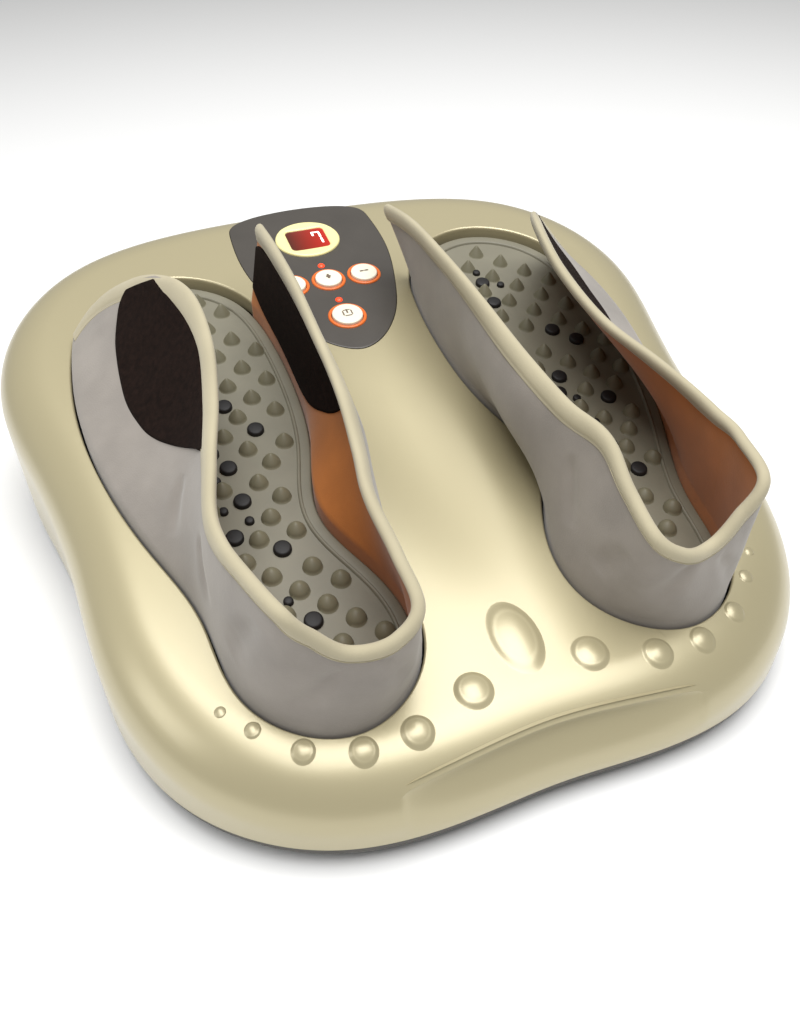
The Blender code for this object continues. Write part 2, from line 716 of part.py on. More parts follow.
def make_bottom_cover():
    """The tray, with a tongue inside the top cover, bosses, mount columns, ribs and vents."""
    outline = case_outline()
    tongue = offset_loop(outline, -CASE_WALL - CLEARANCE)
    rings = tray_rings()
    rings += [ring(tongue, SPLIT_HEIGHT - CLEARANCE), ring(tongue, SPLIT_HEIGHT + TONGUE_HEIGHT)]
    tray = solid("bottom_cover", [rings], "grey_tray_plastic")
    inner = CASE_WALL + CLEARANCE + TONGUE_WALL
    floor_loop = offset_loop(outline, -inner - UNDERSIDE_INSET / 2)
    wall_loop = offset_loop(outline, -inner)
    cavity = [
        ring(floor_loop, FLOOR_HEIGHT),
        ring(wall_loop, (FLOOR_HEIGHT + SPLIT_HEIGHT) / 2),
        ring(wall_loop, SPLIT_HEIGHT + TONGUE_HEIGHT + OVERRUN),
    ]
    boolean(tray, solid("tray_cavity", [cavity]), "DIFFERENCE")
    root = FLOOR_HEIGHT - SINK
    top = FLOOR_HEIGHT + RIB_HEIGHT
    ribs = [block(0, y, RIB_LENGTH, RIB_THICKNESS, root, top) for y in RIB_PLACES_Y]
    boolean(tray, solid("cross_ribs", ribs), "UNION")
    bosses = [
        post(x, y, BOSS_RADIUS, root, SPLIT_HEIGHT - CLEARANCE) for x, y in screw_places()
    ]
    bosses += [
        post(x, y, COLUMN_BOTTOM_RADIUS, root, mount_levels(y)[0], COLUMN_TOP_RADIUS) for x, y in mount_places()
    ]
    bosses += [post(x, y, POWER_POST_RADIUS, root, power_board_level() - CLEARANCE) for x, y in power_posts()]
    boolean(tray, solid("tray_bosses", bosses), "UNION")
    holes = []
    for x, y in screw_places():
        seat = SPLIT_HEIGHT - CLEARANCE - SCREW_WEB
        holes.append(post(x, y, SCREW_HEAD_RADIUS + CLEARANCE, 0, seat))
    boolean(tray, solid("screw_counterbores", holes), "DIFFERENCE")
    shanks = [post(x, y, SCREW_RADIUS + PILOT_GAP, 0, SPLIT_HEIGHT + OVERRUN) for x, y in screw_places()]
    boolean(tray, solid("screw_clearances", shanks), "DIFFERENCE")
    vents = []
    for side in (1, -1):
        x, y = foot_point(*MOTOR_PLACE_SHARES)
        for i in range(VENT_COUNT):
            place = y + VENT_PITCH * (i - VENT_COUNT / 2)
            vents.append(block(side * x, place, VENT_LENGTH, VENT_WIDTH, 0, FLOOR_HEIGHT + RIB_HEIGHT + OVERRUN))
    boolean(tray, solid("tray_vents", vents), "DIFFERENCE")


def make_screws():
    """The six case screws, driven up from the tray into the cover's columns."""
    seat = SPLIT_HEIGHT - CLEARANCE - SCREW_WEB - CLEARANCE
    tip = seat + SCREW_LENGTH
    profile = [
        (0, tip), (SCREW_RADIUS, tip - SCREW_RADIUS), (SCREW_RADIUS, seat), (SCREW_HEAD_RADIUS, seat),
        (SCREW_HEAD_RADIUS, seat - SCREW_HEAD_HEIGHT), (0, seat - SCREW_HEAD_HEIGHT),
    ]
    for name, share in zip(("heel", "side", "toe"), SCREW_PLACES_SHARES):
        for prefix, (x, y) in zip(("right", "left"), both_sides([case_point(*share)])):
            screw = turned(f"{prefix}_{name}_screw", profile, "zinc_plated_steel", steps=SMALL_STEPS)
            screw.location = (x, y, 0)


def make_rubber_feet():
    """The four pads that the tray stands on."""
    top = UNDERSIDE_HEIGHT - CLEARANCE
    profile = [
        (0, top), (FOOT_PAD_RADIUS, top), (FOOT_PAD_RADIUS, FOOT_PAD_EDGE), (FOOT_PAD_RADIUS - FOOT_PAD_EDGE, 0), (0, 0),
    ]
    for name, share in zip(("heel", "toe"), FOOT_PAD_PLACES_SHARES):
        for prefix, (x, y) in zip(("right", "left"), both_sides([case_point(*share)])):
            pad = turned(f"{prefix}_{name}_rubber_foot", profile, "rubber")
            pad.location = (x, y, 0)


def mount_places():
    """Places of the rubber mounts of both feet."""
    return both_sides([foot_point(*share) for share in MOUNT_PLACES_SHARES])


def mount_levels(y):
    """Heights of the foot of a mount's column top and of the plate's boss over it."""
    under = deck_height(y) - PLATE_DROP - PLATE_DISH - PLATE_WALL
    boss = under - PLATE_BOSS_LENGTH
    return boss - MOUNT_HEIGHT - 2 * CLEARANCE, boss


def nub_rings():
    """Rings of each nub of the right foot, in rows that are staggered by half a pitch."""
    outline = foot_outline()
    nubs = []
    floor = PLATE_DROP + PLATE_DISH
    share = NUB_FIRST_ROW_SHARE
    stagger = NUB_STAGGER_SHARE
    while share < 1:
        height = NUB_HEEL_HEIGHT + (NUB_TOE_HEIGHT - NUB_HEEL_HEIGHT) * share
        tip = NUB_RADIUS * (NUB_HEEL_TOP_SHARE + (NUB_TOE_TOP_SHARE - NUB_HEEL_TOP_SHARE) * share)
        pitch = np.interp(share, *np.transpose(NUB_PITCH_SHARES))
        for column in range(-NUB_COLUMNS, NUB_COLUMNS + 1):
            x, y = foot_point(NUB_MIDDLE_SHARE + (column + stagger) * pitch, share)
            if clear_of_rim(outline, x, y) and clear_of_magnets(x, y):
                nubs.append(post(x, y, NUB_RADIUS, below_deck(floor + SINK), below_deck(floor - height), tip, NUB_STEPS))
        share += NUB_HEEL_ROW_SHARE + (NUB_TOE_ROW_SHARE - NUB_HEEL_ROW_SHARE) * share
        stagger = NUB_STAGGER_SHARE - stagger
    return nubs


def clear_of_rim(outline, x, y):
    """True inside the foot's outline and away from its rim."""
    after = np.roll(outline, -1, axis=0)
    crossed = (outline[:, 1] > y) != (after[:, 1] > y)
    drop = np.where(crossed, after[:, 1] - outline[:, 1], 1)
    reach = outline[:, 0] + (y - outline[:, 1]) * (after[:, 0] - outline[:, 0]) / drop
    inside = (crossed & (x < reach)).sum() % 2 == 1
    return inside and np.linalg.norm(outline - (x, y), axis=1).min() > NUB_EDGE_MARGIN


def clear_of_magnets(x, y):
    """True where a nub leaves a gap to each magnet."""
    gap = NUB_RADIUS + MAGNET_RADIUS + CLEARANCE
    return all(math.dist((x, y), foot_point(*share)) > gap for share in MAGNET_PLACES_SHARES)


def magnet_rings():
    """Rings of each magnet's dome on the right foot."""
    floor = PLATE_DROP + PLATE_DISH
    magnets = []
    for share in MAGNET_PLACES_SHARES:
        x, y = foot_point(*share)
        rings = [ring(circle(x, y, MAGNET_RADIUS, MAGNET_STEPS), below_deck(floor + SINK))]
        for turn in (math.pi / 9, math.pi / 3):
            loop = circle(x, y, MAGNET_RADIUS * math.cos(turn), MAGNET_STEPS)
            rings.append(ring(loop, below_deck(floor - MAGNET_HEIGHT * math.sin(turn))))
        magnets.append(rings)
    return magnets


def mirror_rings(rings, side):
    """Rings as they are on the right, or mirrored to the left."""
    return rings if side > 0 else [points[::-1] * (-1, 1, 1) for points in rings]


def make_foot_plate(side, prefix):
    """The plate: a dished top with a rim, a skirt below it, bosses for its mounts, nubs and magnets."""
    outline = foot_loop(side)
    edge = foot_loop(side, -PLATE_RIM_EDGE)
    rim = foot_loop(side, -PLATE_RIM)
    dish = foot_loop(side, -PLATE_RIM - PLATE_DISH)
    plate = solid(
        f"{prefix}_foot_plate",
        [[
            ring(outline, below_deck(PLATE_SKIRT)),
            ring(outline, below_deck(PLATE_DROP + PLATE_RIM_EDGE)),
            ring(edge, below_deck(PLATE_DROP)),
            ring(rim, below_deck(PLATE_DROP)),
            ring(dish, below_deck(PLATE_DROP + PLATE_DISH)),
        ]],
        "olive_plate_plastic",
    )
    inner = foot_loop(side, -PLATE_WALL)
    under = below_deck(PLATE_DROP + PLATE_DISH + PLATE_WALL)
    cavity = [ring(inner, below_deck(PLATE_SKIRT + OVERRUN)), ring(inner, under)]
    boolean(plate, solid(f"{prefix}_plate_cavity", [cavity]), "DIFFERENCE")
    places = [place for place in mount_places() if place[0] * side > 0]
    root = below_deck(PLATE_DROP + PLATE_DISH + PLATE_WALL / 2)
    bosses = [post(x, y, PLATE_BOSS_RADIUS, mount_levels(y)[1], root) for x, y in places]
    boolean(plate, solid(f"{prefix}_plate_bosses", bosses), "UNION")
    bumps = [mirror_rings(rings, side) for rings in nub_rings() + magnet_rings()]
    boolean(plate, solid(f"{prefix}_plate_bumps", bumps), "UNION")
    return plate


def make_mounts(side, prefix):
    """The four rubber mounts between the tray's columns and the plate's bosses."""
    names = ("heel_inner", "heel_outer", "toe_inner", "toe_outer")
    for name, share in zip(names, MOUNT_PLACES_SHARES):
        x, y = foot_point(*share)
        low = mount_levels(y)[0] + CLEARANCE
        high = mount_levels(y)[1] - CLEARANCE
        waist = MOUNT_RADIUS * MOUNT_WAIST_SHARE
        middle = (low + high) / 2
        profile = [(0, high), (MOUNT_RADIUS, high), (waist, middle), (MOUNT_RADIUS, low), (0, low)]
        mount = turned(f"{prefix}_{name}_mount", profile, "rubber", steps=SMALL_STEPS)
        mount.location = (side * x, y, 0)


def sleeve_base(share, offset):
    """A place on the right foot's outline, this share of the way round and moved outwards."""
    loop = offset_loop(foot_outline(), offset)
    at = np.asarray(share) * FOOT_STEPS
    low = np.floor(at).astype(int)
    part = (at - low)[..., None]
    return loop[low % FOOT_STEPS] * (1 - part) + loop[(low + 1) % FOOT_STEPS] * part


def sleeve_curves(share):
    """Base, fold and edge points of the right sleeve at shares of the way round the foot."""
    share = np.asarray(share, float)
    base_xy = sleeve_base(share, SLEEVE_GAP)
    base = np.column_stack([base_xy, deck_height(base_xy[:, 1]) + SLEEVE_RISE])
    table = np.array(SLEEVE_EDGE_SHARES)
    edge = smooth_through(table[:, 0], table[:, 1:], share)
    edge_x, edge_y = foot_point(edge[:, 0], edge[:, 1])
    top = np.column_stack([edge_x, edge_y, deck_height(edge_y) + SLEEVE_HEIGHT * edge[:, 2]])
    along = (FOLD_HEIGHT - SLEEVE_RISE) / (SLEEVE_HEIGHT * edge[:, 2] - SLEEVE_RISE)
    return base, base + (top - base) * along[:, None], top


def fold_line(kind):
    """Ends of a flap's straight fold, from its seam with the heel cup to its front."""
    seam, front_shares = {
        "lateral": (LATERAL_SEAM_COLUMN, LATERAL_FOLD_FRONT_SHARES),
        "medial": (MEDIAL_SEAM_COLUMN, MEDIAL_FOLD_FRONT_SHARES),
    }[kind]
    rear = sleeve_curves([seam / FOOT_STEPS])[1][0]
    x, y = foot_point(*front_shares)
    return rear, np.array([x, y, deck_height(y) + FOLD_HEIGHT])


def sleeve_points(columns, rows):
    """Grid of the right sleeve's inner face: rows run up from the base at 0 through the fold to the edge at 1."""
    columns = np.asarray(columns, float)
    rows = np.asarray(rows, float)
    base, fold, top = sleeve_curves(columns / FOOT_STEPS)
    for kind, seam, front in (
        ("lateral", LATERAL_SEAM_COLUMN, LATERAL_FRONT_COLUMN),
        ("medial", MEDIAL_SEAM_COLUMN, MEDIAL_FRONT_COLUMN),
    ):
        done = (columns - seam) / (front - seam)
        rear, tip = fold_line(kind)
        fold = np.where((done >= 0)[:, None], rear + (tip - rear) * done[:, None], fold)
    u = rows[:, None, None]
    middle = FOLD_ROW_SHARE
    return (
        base * (u - middle) * (u - 1) / middle
        + fold * u * (u - 1) / (middle * (middle - 1))
        + top * u * (u - middle) / (1 - middle)
    )


def sheet(name, points, side, thickness, finish_name, skip=None, thin_rows=(), parent=None):
    """A fabric piece: a grid of points that Solidify thickens outwards from the foot."""
    if side < 0:
        points = points[:, ::-1] * (-1, 1, 1)
    shape = bmesh.new()
    layer = shape.verts.layers.deform.new()
    grid = [[shape.verts.new(point) for point in line] for line in points]
    for i, line in enumerate(grid):
        for vertex in line:
            vertex[layer][0] = FOLD_THIN_SHARE if i in thin_rows else 1
    columns = len(grid[0])
    for i in range(len(grid) - 1):
        for j in range(columns - 1):
            if skip is None or not skip(i, j if side > 0 else columns - 2 - j):
                shape.faces.new((grid[i][j], grid[i][j + 1], grid[i + 1][j + 1], grid[i + 1][j]))
    loose = [vertex for vertex in shape.verts if not vertex.link_faces]
    bmesh.ops.delete(shape, geom=loose, context="VERTS")
    made = new_object(name, shape, finish_name, parent)
    made.vertex_groups.new(name="thickness")
    wall = made.modifiers.new("Thickness", "SOLIDIFY")
    wall.thickness = thickness
    wall.offset = 1
    wall.vertex_group = "thickness"
    return made


def make_sleeve(side, prefix):
    """The fixed cuff: a hem in the well, a band up to the two folds, and the heel cup behind them."""
    columns = np.arange(MEDIAL_FRONT_COLUMN, LATERAL_FRONT_COLUMN + 1)
    half_gap = CLEARANCE / SLEEVE_HEIGHT
    rows = [0, FOLD_ROW_SHARE / 2, FOLD_ROW_SHARE - half_gap, *FLAP_ROW_SHARES]
    upper = sleeve_points(columns, rows)
    hem = upper[:1].copy()
    hem[..., 2] -= SLEEVE_RISE + HEM_DEPTH
    points = np.concatenate([hem, upper])
    fold_row = 3
    heel = range(MEDIAL_SEAM_COLUMN - MEDIAL_FRONT_COLUMN, LATERAL_SEAM_COLUMN - MEDIAL_FRONT_COLUMN)
    return sheet(
        f"{prefix}_sleeve", points, side, FABRIC, "grey_sleeve_fabric",
        skip=lambda i, j: i >= fold_row and j not in heel,
    )


def make_flap(side, prefix, kind, holder):
    """One side of the sleeve's opening, from its fold to its edge, with a slit to the heel cup."""
    slit = CLEARANCE * FOOT_STEPS / FOOT_LENGTH
    if kind == "lateral":
        columns = np.arange(LATERAL_SEAM_COLUMN, LATERAL_FRONT_COLUMN + 1, dtype=float)
        columns[0] += slit
    else:
        columns = np.arange(MEDIAL_FRONT_COLUMN, MEDIAL_SEAM_COLUMN + 1, dtype=float)
        columns[-1] -= slit
    half_gap = CLEARANCE / SLEEVE_HEIGHT
    rows = [FOLD_ROW_SHARE + half_gap, *FLAP_ROW_SHARES]
    points = sleeve_points(columns, rows)
    flap = sheet(f"{prefix}_{kind}_flap", points, side, FABRIC, "grey_sleeve_fabric", thin_rows=(0,))
    carry(holder, flap)
    return flap


def on_flap(column, row):
    """A place on the inner face of a flap's flat facets."""
    levels = np.array([FOLD_ROW_SHARE, *FLAP_ROW_SHARES])
    i = np.searchsorted(levels, row) - 1
    j = int(column)
    (low_left, low_right), (high_left, high_right) = sleeve_points([j, j + 1], levels[i:i + 2])
    rise = (row - levels[i]) / (levels[i + 1] - levels[i])
    part = column - j
    low = low_left + (low_right - low_left) * part
    return low + (high_left + (high_right - high_left) * part - low) * rise


def make_patch(side, prefix, name, kind, holder):
    """A thin fastening patch near the toes: outside on the lateral flap, inside on the medial one."""
    if kind == "lateral":
        columns = LATERAL_FRONT_COLUMN - np.array(LOOP_PATCH_COLUMNS)
        low = np.array(LOOP_PATCH_LOW_SHARES)
        top = LOOP_PATCH_TOP_SHARE
        lift = FABRIC + PATCH_GAP
    else:
        columns = MEDIAL_FRONT_COLUMN + np.array(HOOK_PATCH_COLUMNS)
        low = np.array(HOOK_PATCH_LOW_SHARES)
        top = HOOK_PATCH_TOP_SHARE
        lift = -PATCH_GAP - PATCH_THICKNESS
    rows = [low]
    for crease in FLAP_ROW_SHARES:
        if crease < top:
            rows.append(np.where(low < crease, crease, (rows[-1] + top) / 2))
    rows = np.array([*rows, np.full(len(low), top)])
    points = np.array([[on_flap(column, row) for column, row in zip(columns, line)] for line in rows])
    outward = np.cross(np.gradient(points, axis=1), np.gradient(points, axis=0))
    outward /= np.linalg.norm(outward, axis=2, keepdims=True)
    patch = sheet(f"{prefix}_{name}", points + outward * lift, side, PATCH_THICKNESS, "dark_hook_and_loop")
    carry(holder, patch)


def make_retainer(side, prefix):
    """The ring under the plate's skirt that clamps the hem of the sleeve."""
    inner = SLEEVE_GAP + FABRIC + CLEARANCE
    outer = inner + RETAINER_WIDTH
    low = below_deck(HEM_DEPTH)
    high = below_deck(HEM_DEPTH - RETAINER_HEIGHT)
    hoop(
        f"{prefix}_hem_retainer",
        [ring(foot_loop(side, outer), low), ring(foot_loop(side, outer), high),
         ring(foot_loop(side, inner), high), ring(foot_loop(side, inner), low)],
        "retainer_plastic",
    )


def across_prism(name, profile, width, finish_name=None, parent=None):
    """A prism along X from a counterclockwise profile of (y, z) points."""
    profile = np.asarray(profile)
    ends = [np.column_stack([np.full(len(profile), x), profile]) for x in (-width / 2, width / 2)]
    return solid(name, [ends], finish_name, parent)


def make_motor(side, prefix):
    """The vibration motor in its bracket under the plate, and its shaft with an eccentric weight."""
    x, y = foot_point(*MOTOR_PLACE_SHARES)
    under = (PLATE_DROP + PLATE_DISH + PLATE_WALL) * math.cos(TILT)
    frame = empty(f"{prefix}_motor_frame", (side * x, y, deck_height(y)), TILT)
    top = -under - CLEARANCE
    radius = MOTOR_DIAMETER / 2
    inner = radius + CLEARANCE
    outer = inner + BRACKET_WALL
    axis = top - outer
    wing = outer + BRACKET_FLANGE
    turns = np.linspace(math.pi, 2 * math.pi, 9)
    bowl = [(outer * math.cos(turn), axis + outer * math.sin(turn)) for turn in turns]
    liner = [(inner * math.cos(turn), axis + inner * math.sin(turn)) for turn in turns[::-1]]
    flange = top - BRACKET_WALL
    profile = (
        [(-wing, top), (-wing, flange), (-outer, flange)] + bowl + [(outer, flange), (wing, flange), (wing, top), (inner, top)]
        + liner + [(-inner, top)]
    )
    across_prism(f"{prefix}_motor_bracket", profile, BRACKET_WIDTH, "zinc_plated_steel", frame)
    bore = SHAFT_RADIUS + CLEARANCE
    half = MOTOR_LENGTH / 2
    neck = half + MOTOR_NECK_LENGTH
    can = [
        (bore, neck), (MOTOR_NECK_RADIUS, neck), (MOTOR_NECK_RADIUS, half), (radius, half),
        (radius, -half), (bore, -half),
    ]
    motor = turned(f"{prefix}_motor", can, "motor_steel", frame, bored=True)
    shaft_tip = neck + WEIGHT_GAP + WEIGHT_THICKNESS + CLEARANCE
    shaft = [(0, shaft_tip), (SHAFT_RADIUS, shaft_tip), (SHAFT_RADIUS, -half), (0, -half)]
    rotor = turned(f"{prefix}_eccentric_rotor", shaft, "sintered_weight", frame)
    sector = [(math.cos(turn), math.sin(turn)) for turn in np.linspace(-math.pi, 0, 9)]
    hub = [(math.cos(turn), math.sin(turn)) for turn in np.linspace(0, math.pi, 7)[1:-1]]
    loop = np.array([(WEIGHT_RADIUS * a, WEIGHT_RADIUS * b) for a, b in sector])
    collar = np.array([(2 * SHAFT_RADIUS * a, 2 * SHAFT_RADIUS * b) for a, b in hub])
    loop = np.concatenate([loop, collar])
    low = neck + WEIGHT_GAP
    weight = solid(f"{prefix}_weight", [[ring(loop, low), ring(loop, low + WEIGHT_THICKNESS)]], parent=frame)
    boolean(rotor, weight, "UNION")
    for piece in (motor, rotor, weight):
        piece.location = (0, 0, axis)
        piece.rotation_euler = (0, math.pi / 2, 0)


def button_places():
    """Name, place and diameter of each button."""
    return (
        ("left", -BUTTON_PITCH, BUTTON_ROW_V, BUTTON_DIAMETER),
        ("middle", 0, BUTTON_ROW_V, BUTTON_DIAMETER),
        ("right", BUTTON_PITCH, BUTTON_ROW_V, BUTTON_DIAMETER),
        ("lower", 0, LOWER_BUTTON_V, LOWER_BUTTON_DIAMETER),
    )


def lamp_places():
    """Name and place of each indicator lamp, behind its button."""
    places = []
    for (name, x, v, diameter), turn in zip(button_places(), (-LAMP_TURN, 0, None, 0)):
        if turn is not None:
            reach = diameter / 2 + CLEARANCE + RING_WIDTH + LAMP_DISTANCE
            places.append((name, x - reach * math.sin(turn), v + reach * math.cos(turn)))
    return places


def make_control_panel(frame):
    """The shield-shaped plate with holes for its buttons, lamps and window, and posts for the control board."""
    low = PANEL_PROUD - PANEL_THICKNESS
    panel = solid("control_panel", [[ring(panel_loop(), low), ring(panel_loop(), PANEL_PROUD)]], "panel_plastic", frame)
    holes = []
    for _, x, v, diameter in button_places():
        radius = diameter / 2 + 2 * CLEARANCE + RING_WIDTH
        holes.append(post(x, v, radius, -OVERRUN, OVERRUN, steps=ROUND_STEPS))
    for _, x, v in lamp_places():
        holes.append(post(x, v, LAMP_RADIUS + CLEARANCE, -OVERRUN, OVERRUN))
    window = rounded_rectangle(
        0, DISPLAY_V, WINDOW_WIDTH + 2 * CLEARANCE, WINDOW_LENGTH + 2 * CLEARANCE, WINDOW_CORNER + CLEARANCE, 3
    )
    holes.append([ring(window, -OVERRUN), ring(window, OVERRUN)])
    boolean(panel, solid("panel_holes", holes, parent=frame), "DIFFERENCE")
    posts = []
    for across, along in POST_PLACES_SHARES:
        for x, v in both_sides([(across * PANEL_WIDTH / 2, along * PANEL_LENGTH / 2)]):
            posts.append(post(x, v, POST_RADIUS, CLEARANCE - BOARD_DEPTH, low + PANEL_THICKNESS / 2))
    boolean(panel, solid("board_posts", posts, parent=frame), "UNION")


def make_buttons(frame):
    """The four buttons, each sliding in its orange trim ring."""
    under = PANEL_PROUD - PANEL_THICKNESS
    for name, x, v, diameter in button_places():
        radius = diameter / 2
        flange_top = under - CLEARANCE
        flange = flange_top - BUTTON_FLANGE_THICKNESS
        stem = SWITCH_HEIGHT - BOARD_DEPTH + BUTTON_TRAVEL + CLEARANCE
        profile = [
            (0, BUTTON_RISE), (radius - BUTTON_EDGE, BUTTON_RISE), (radius, BUTTON_RISE - BUTTON_EDGE),
            (radius, flange_top), (radius + BUTTON_FLANGE, flange_top), (radius + BUTTON_FLANGE, flange),
            (BUTTON_STEM_RADIUS, flange), (BUTTON_STEM_RADIUS, stem), (0, stem),
        ]
        slide = empty(f"{name}_button_slide", (x, v, 0), parent=frame)
        turned(f"{name}_button", profile, "cream_button", slide)
        inner = radius + CLEARANCE
        outer = inner + RING_WIDTH
        ring_profile = [(inner, RING_RISE), (outer, RING_RISE), (outer, under), (inner, under)]
        trim = turned(f"{name}_button_ring", ring_profile, "orange_ring", frame, bored=True)
        trim.location = (x, v, 0)


def make_lamps(frame):
    """The three indicator lamps, which stand on the control board."""
    low = CLEARANCE - BOARD_DEPTH
    shoulder = LAMP_RISE - LAMP_RADIUS / 2
    profile = [
        (0, LAMP_RISE), (LAMP_RADIUS * math.cos(math.pi / 4), LAMP_RISE - LAMP_RADIUS / 6),
        (LAMP_RADIUS, shoulder), (LAMP_RADIUS, low), (0, low),
    ]
    for name, x, v in lamp_places():
        lamp = turned(f"{name}_lamp", profile, "red_lamp", frame, steps=SMALL_STEPS)
        lamp.location = (x, v, 0)


def make_display(frame):
    """The oval bezel, the window in it and the display module on the board."""
    shape = circle(0, 0, 1, 2 * ROUND_STEPS) * (DISPLAY_WIDTH / 2, DISPLAY_LENGTH / 2) + (0, DISPLAY_V)
    low = PANEL_PROUD + CLEARANCE
    high = PANEL_PROUD + DISPLAY_RISE
    bezel = solid("display_ring", [[ring(shape, low), ring(offset_loop(shape, -BUTTON_EDGE), high)]], "yellow_bezel", frame)
    window = rounded_rectangle(0, DISPLAY_V, WINDOW_WIDTH, WINDOW_LENGTH, WINDOW_CORNER, 3)
    boolean(bezel, solid("bezel_hole", [[ring(window, -OVERRUN), ring(window, OVERRUN)]], parent=frame), "DIFFERENCE")
    bottom = PANEL_PROUD - PANEL_THICKNESS
    solid("display_lens", [[ring(window, bottom), ring(window, PANEL_PROUD)]], "smoked_red_window", frame)
    solid(
        "display_module",
        [block(0, DISPLAY_V, WINDOW_WIDTH, WINDOW_LENGTH, CLEARANCE - BOARD_DEPTH, bottom - CLEARANCE)],
        "black_display", frame,
    )


def make_control_board(frame):
    """The circuit board behind the panel, with a switch under each button."""
    loop = panel_loop(-BOARD_MARGIN)
    board = solid(
        "control_board", [[ring(loop, -BOARD_DEPTH - BOARD_THICKNESS), ring(loop, -BOARD_DEPTH)]], "green_board", frame
    )
    root = -BOARD_DEPTH - BOARD_THICKNESS / 2
    switches = [
        block(x, v, SWITCH_SIZE, SWITCH_SIZE, root, SWITCH_HEIGHT - BOARD_DEPTH) for _, x, v, _ in button_places()
    ]
    boolean(board, solid("board_switches", switches, parent=frame), "UNION")


def power_board_level():
    """Height of the power board's underside."""
    return FLOOR_HEIGHT + POWER_BOARD_RISE


def power_posts():
    """Places of the posts that carry the power board."""
    x = POWER_BOARD_WIDTH / 2 - POWER_POST_INSET
    v = POWER_BOARD_LENGTH / 2 - POWER_POST_INSET
    return both_sides([(x, POWER_Y - v), (x, POWER_Y + v)])


def make_power_supply():
    """The power board on its posts, with capacitors, and the transformer on it."""
    low = power_board_level()
    top = low + BOARD_THICKNESS
    board = solid(
        "power_board", [block(0, POWER_Y, POWER_BOARD_WIDTH, POWER_BOARD_LENGTH, low, top)], "green_board"
    )
    cans = [
        post(x, y, CAPACITOR_RADIUS, top - BOARD_THICKNESS / 2, top + CAPACITOR_HEIGHT)
        for x, y in both_sides([(CAPACITOR_X, CAPACITOR_Y)])
    ]
    boolean(board, solid("capacitors", cans), "UNION")
    core = [
        block(0, TRANSFORMER_Y, TRANSFORMER_WIDTH, TRANSFORMER_LENGTH, top + CLEARANCE, top + TRANSFORMER_HEIGHT)
    ]
    transformer = solid("transformer", core, "transformer_core")
    middle = top + TRANSFORMER_HEIGHT / 2
    reach = TRANSFORMER_HEIGHT / 2 - BOBBIN_OVERHANG
    width = TRANSFORMER_WIDTH + 2 * BOBBIN_OVERHANG
    length = TRANSFORMER_LENGTH - 2 * BOBBIN_OVERHANG
    bobbin = [block(0, TRANSFORMER_Y, width, length, middle - reach, middle + reach)]
    boolean(transformer, solid("transformer_bobbin", bobbin), "UNION")


def make_power_inlet():
    """The two-pin inlet, flush in the back wall."""
    frame = empty("inlet_frame", (0, CASE_DEPTH / 2 - INLET_SETBACK, INLET_Z), -math.pi / 2)
    body = solid(
        "power_inlet", [block(0, 0, INLET_WIDTH, INLET_HEIGHT, -INLET_DEPTH, 0)], "black_inlet_plastic", frame
    )
    mouth = rounded_rectangle(0, 0, SOCKET_WIDTH, SOCKET_HEIGHT, SOCKET_HEIGHT / 2 - CLEARANCE, 4)
    boolean(body, solid("inlet_socket", [[ring(mouth, -SOCKET_DEPTH), ring(mouth, OVERRUN)]], parent=frame), "DIFFERENCE")
    pins = [
        post(x, y, SOCKET_PIN_RADIUS, -SOCKET_DEPTH - SINK, SOCKET_PIN_LENGTH - SOCKET_DEPTH)
        for x, y in both_sides([(SOCKET_PIN_SPACING / 2, 0)])
    ]
    boolean(body, solid("inlet_pins", pins, parent=frame), "UNION")


def fold_axis(kind, side):
    """Rear end of a flap's fold and the direction along it, on the outer face of the fabric."""
    rear, front = fold_line(kind)
    along = (front - rear) / np.linalg.norm(front - rear)
    outward = np.array([along[1], -along[0], 0]) * (1 if kind == "lateral" else -1)
    rear = rear + outward / np.linalg.norm(outward) * FABRIC * FOLD_THIN_SHARE
    mirror = np.array([side, 1, 1])
    return rear * mirror, along * mirror


def make_foot(side, prefix):
    """Everything that moves with one foot plate, and its mounts."""
    make_foot_plate(side, prefix)
    make_mounts(side, prefix)
    make_sleeve(side, prefix)
    make_retainer(side, prefix)
    make_motor(side, prefix)
    for kind, patch in (("lateral", "loop_patch"), ("medial", "hook_patch")):
        hinge, _ = fold_axis(kind, side)
        holder = empty(f"{prefix}_{kind}_fold", hinge)
        make_flap(side, prefix, kind, holder)
        make_patch(side, prefix, patch, kind, holder)


def main():
    panel_frame = empty("panel_frame", (0, PANEL_Y, deck_height(PANEL_Y)), TILT)
    make_top_cover(panel_frame)
    make_bottom_cover()
    make_screws()
    make_rubber_feet()
    make_control_panel(panel_frame)
    make_buttons(panel_frame)
    make_lamps(panel_frame)
    make_display(panel_frame)
    make_control_board(panel_frame)
    make_power_supply()
    make_power_inlet()
    make_foot(1, "right")
    make_foot(-1, "left")


for old in list(bpy.data.objects):
    bpy.data.objects.remove(old, do_unlink=True)
parts = new_collection("foot_massager")
cutters = new_collection("cutters")
main()
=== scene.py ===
"""The looks of a foot massager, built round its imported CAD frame. Metres, +Z up, +Y towards the toes."""

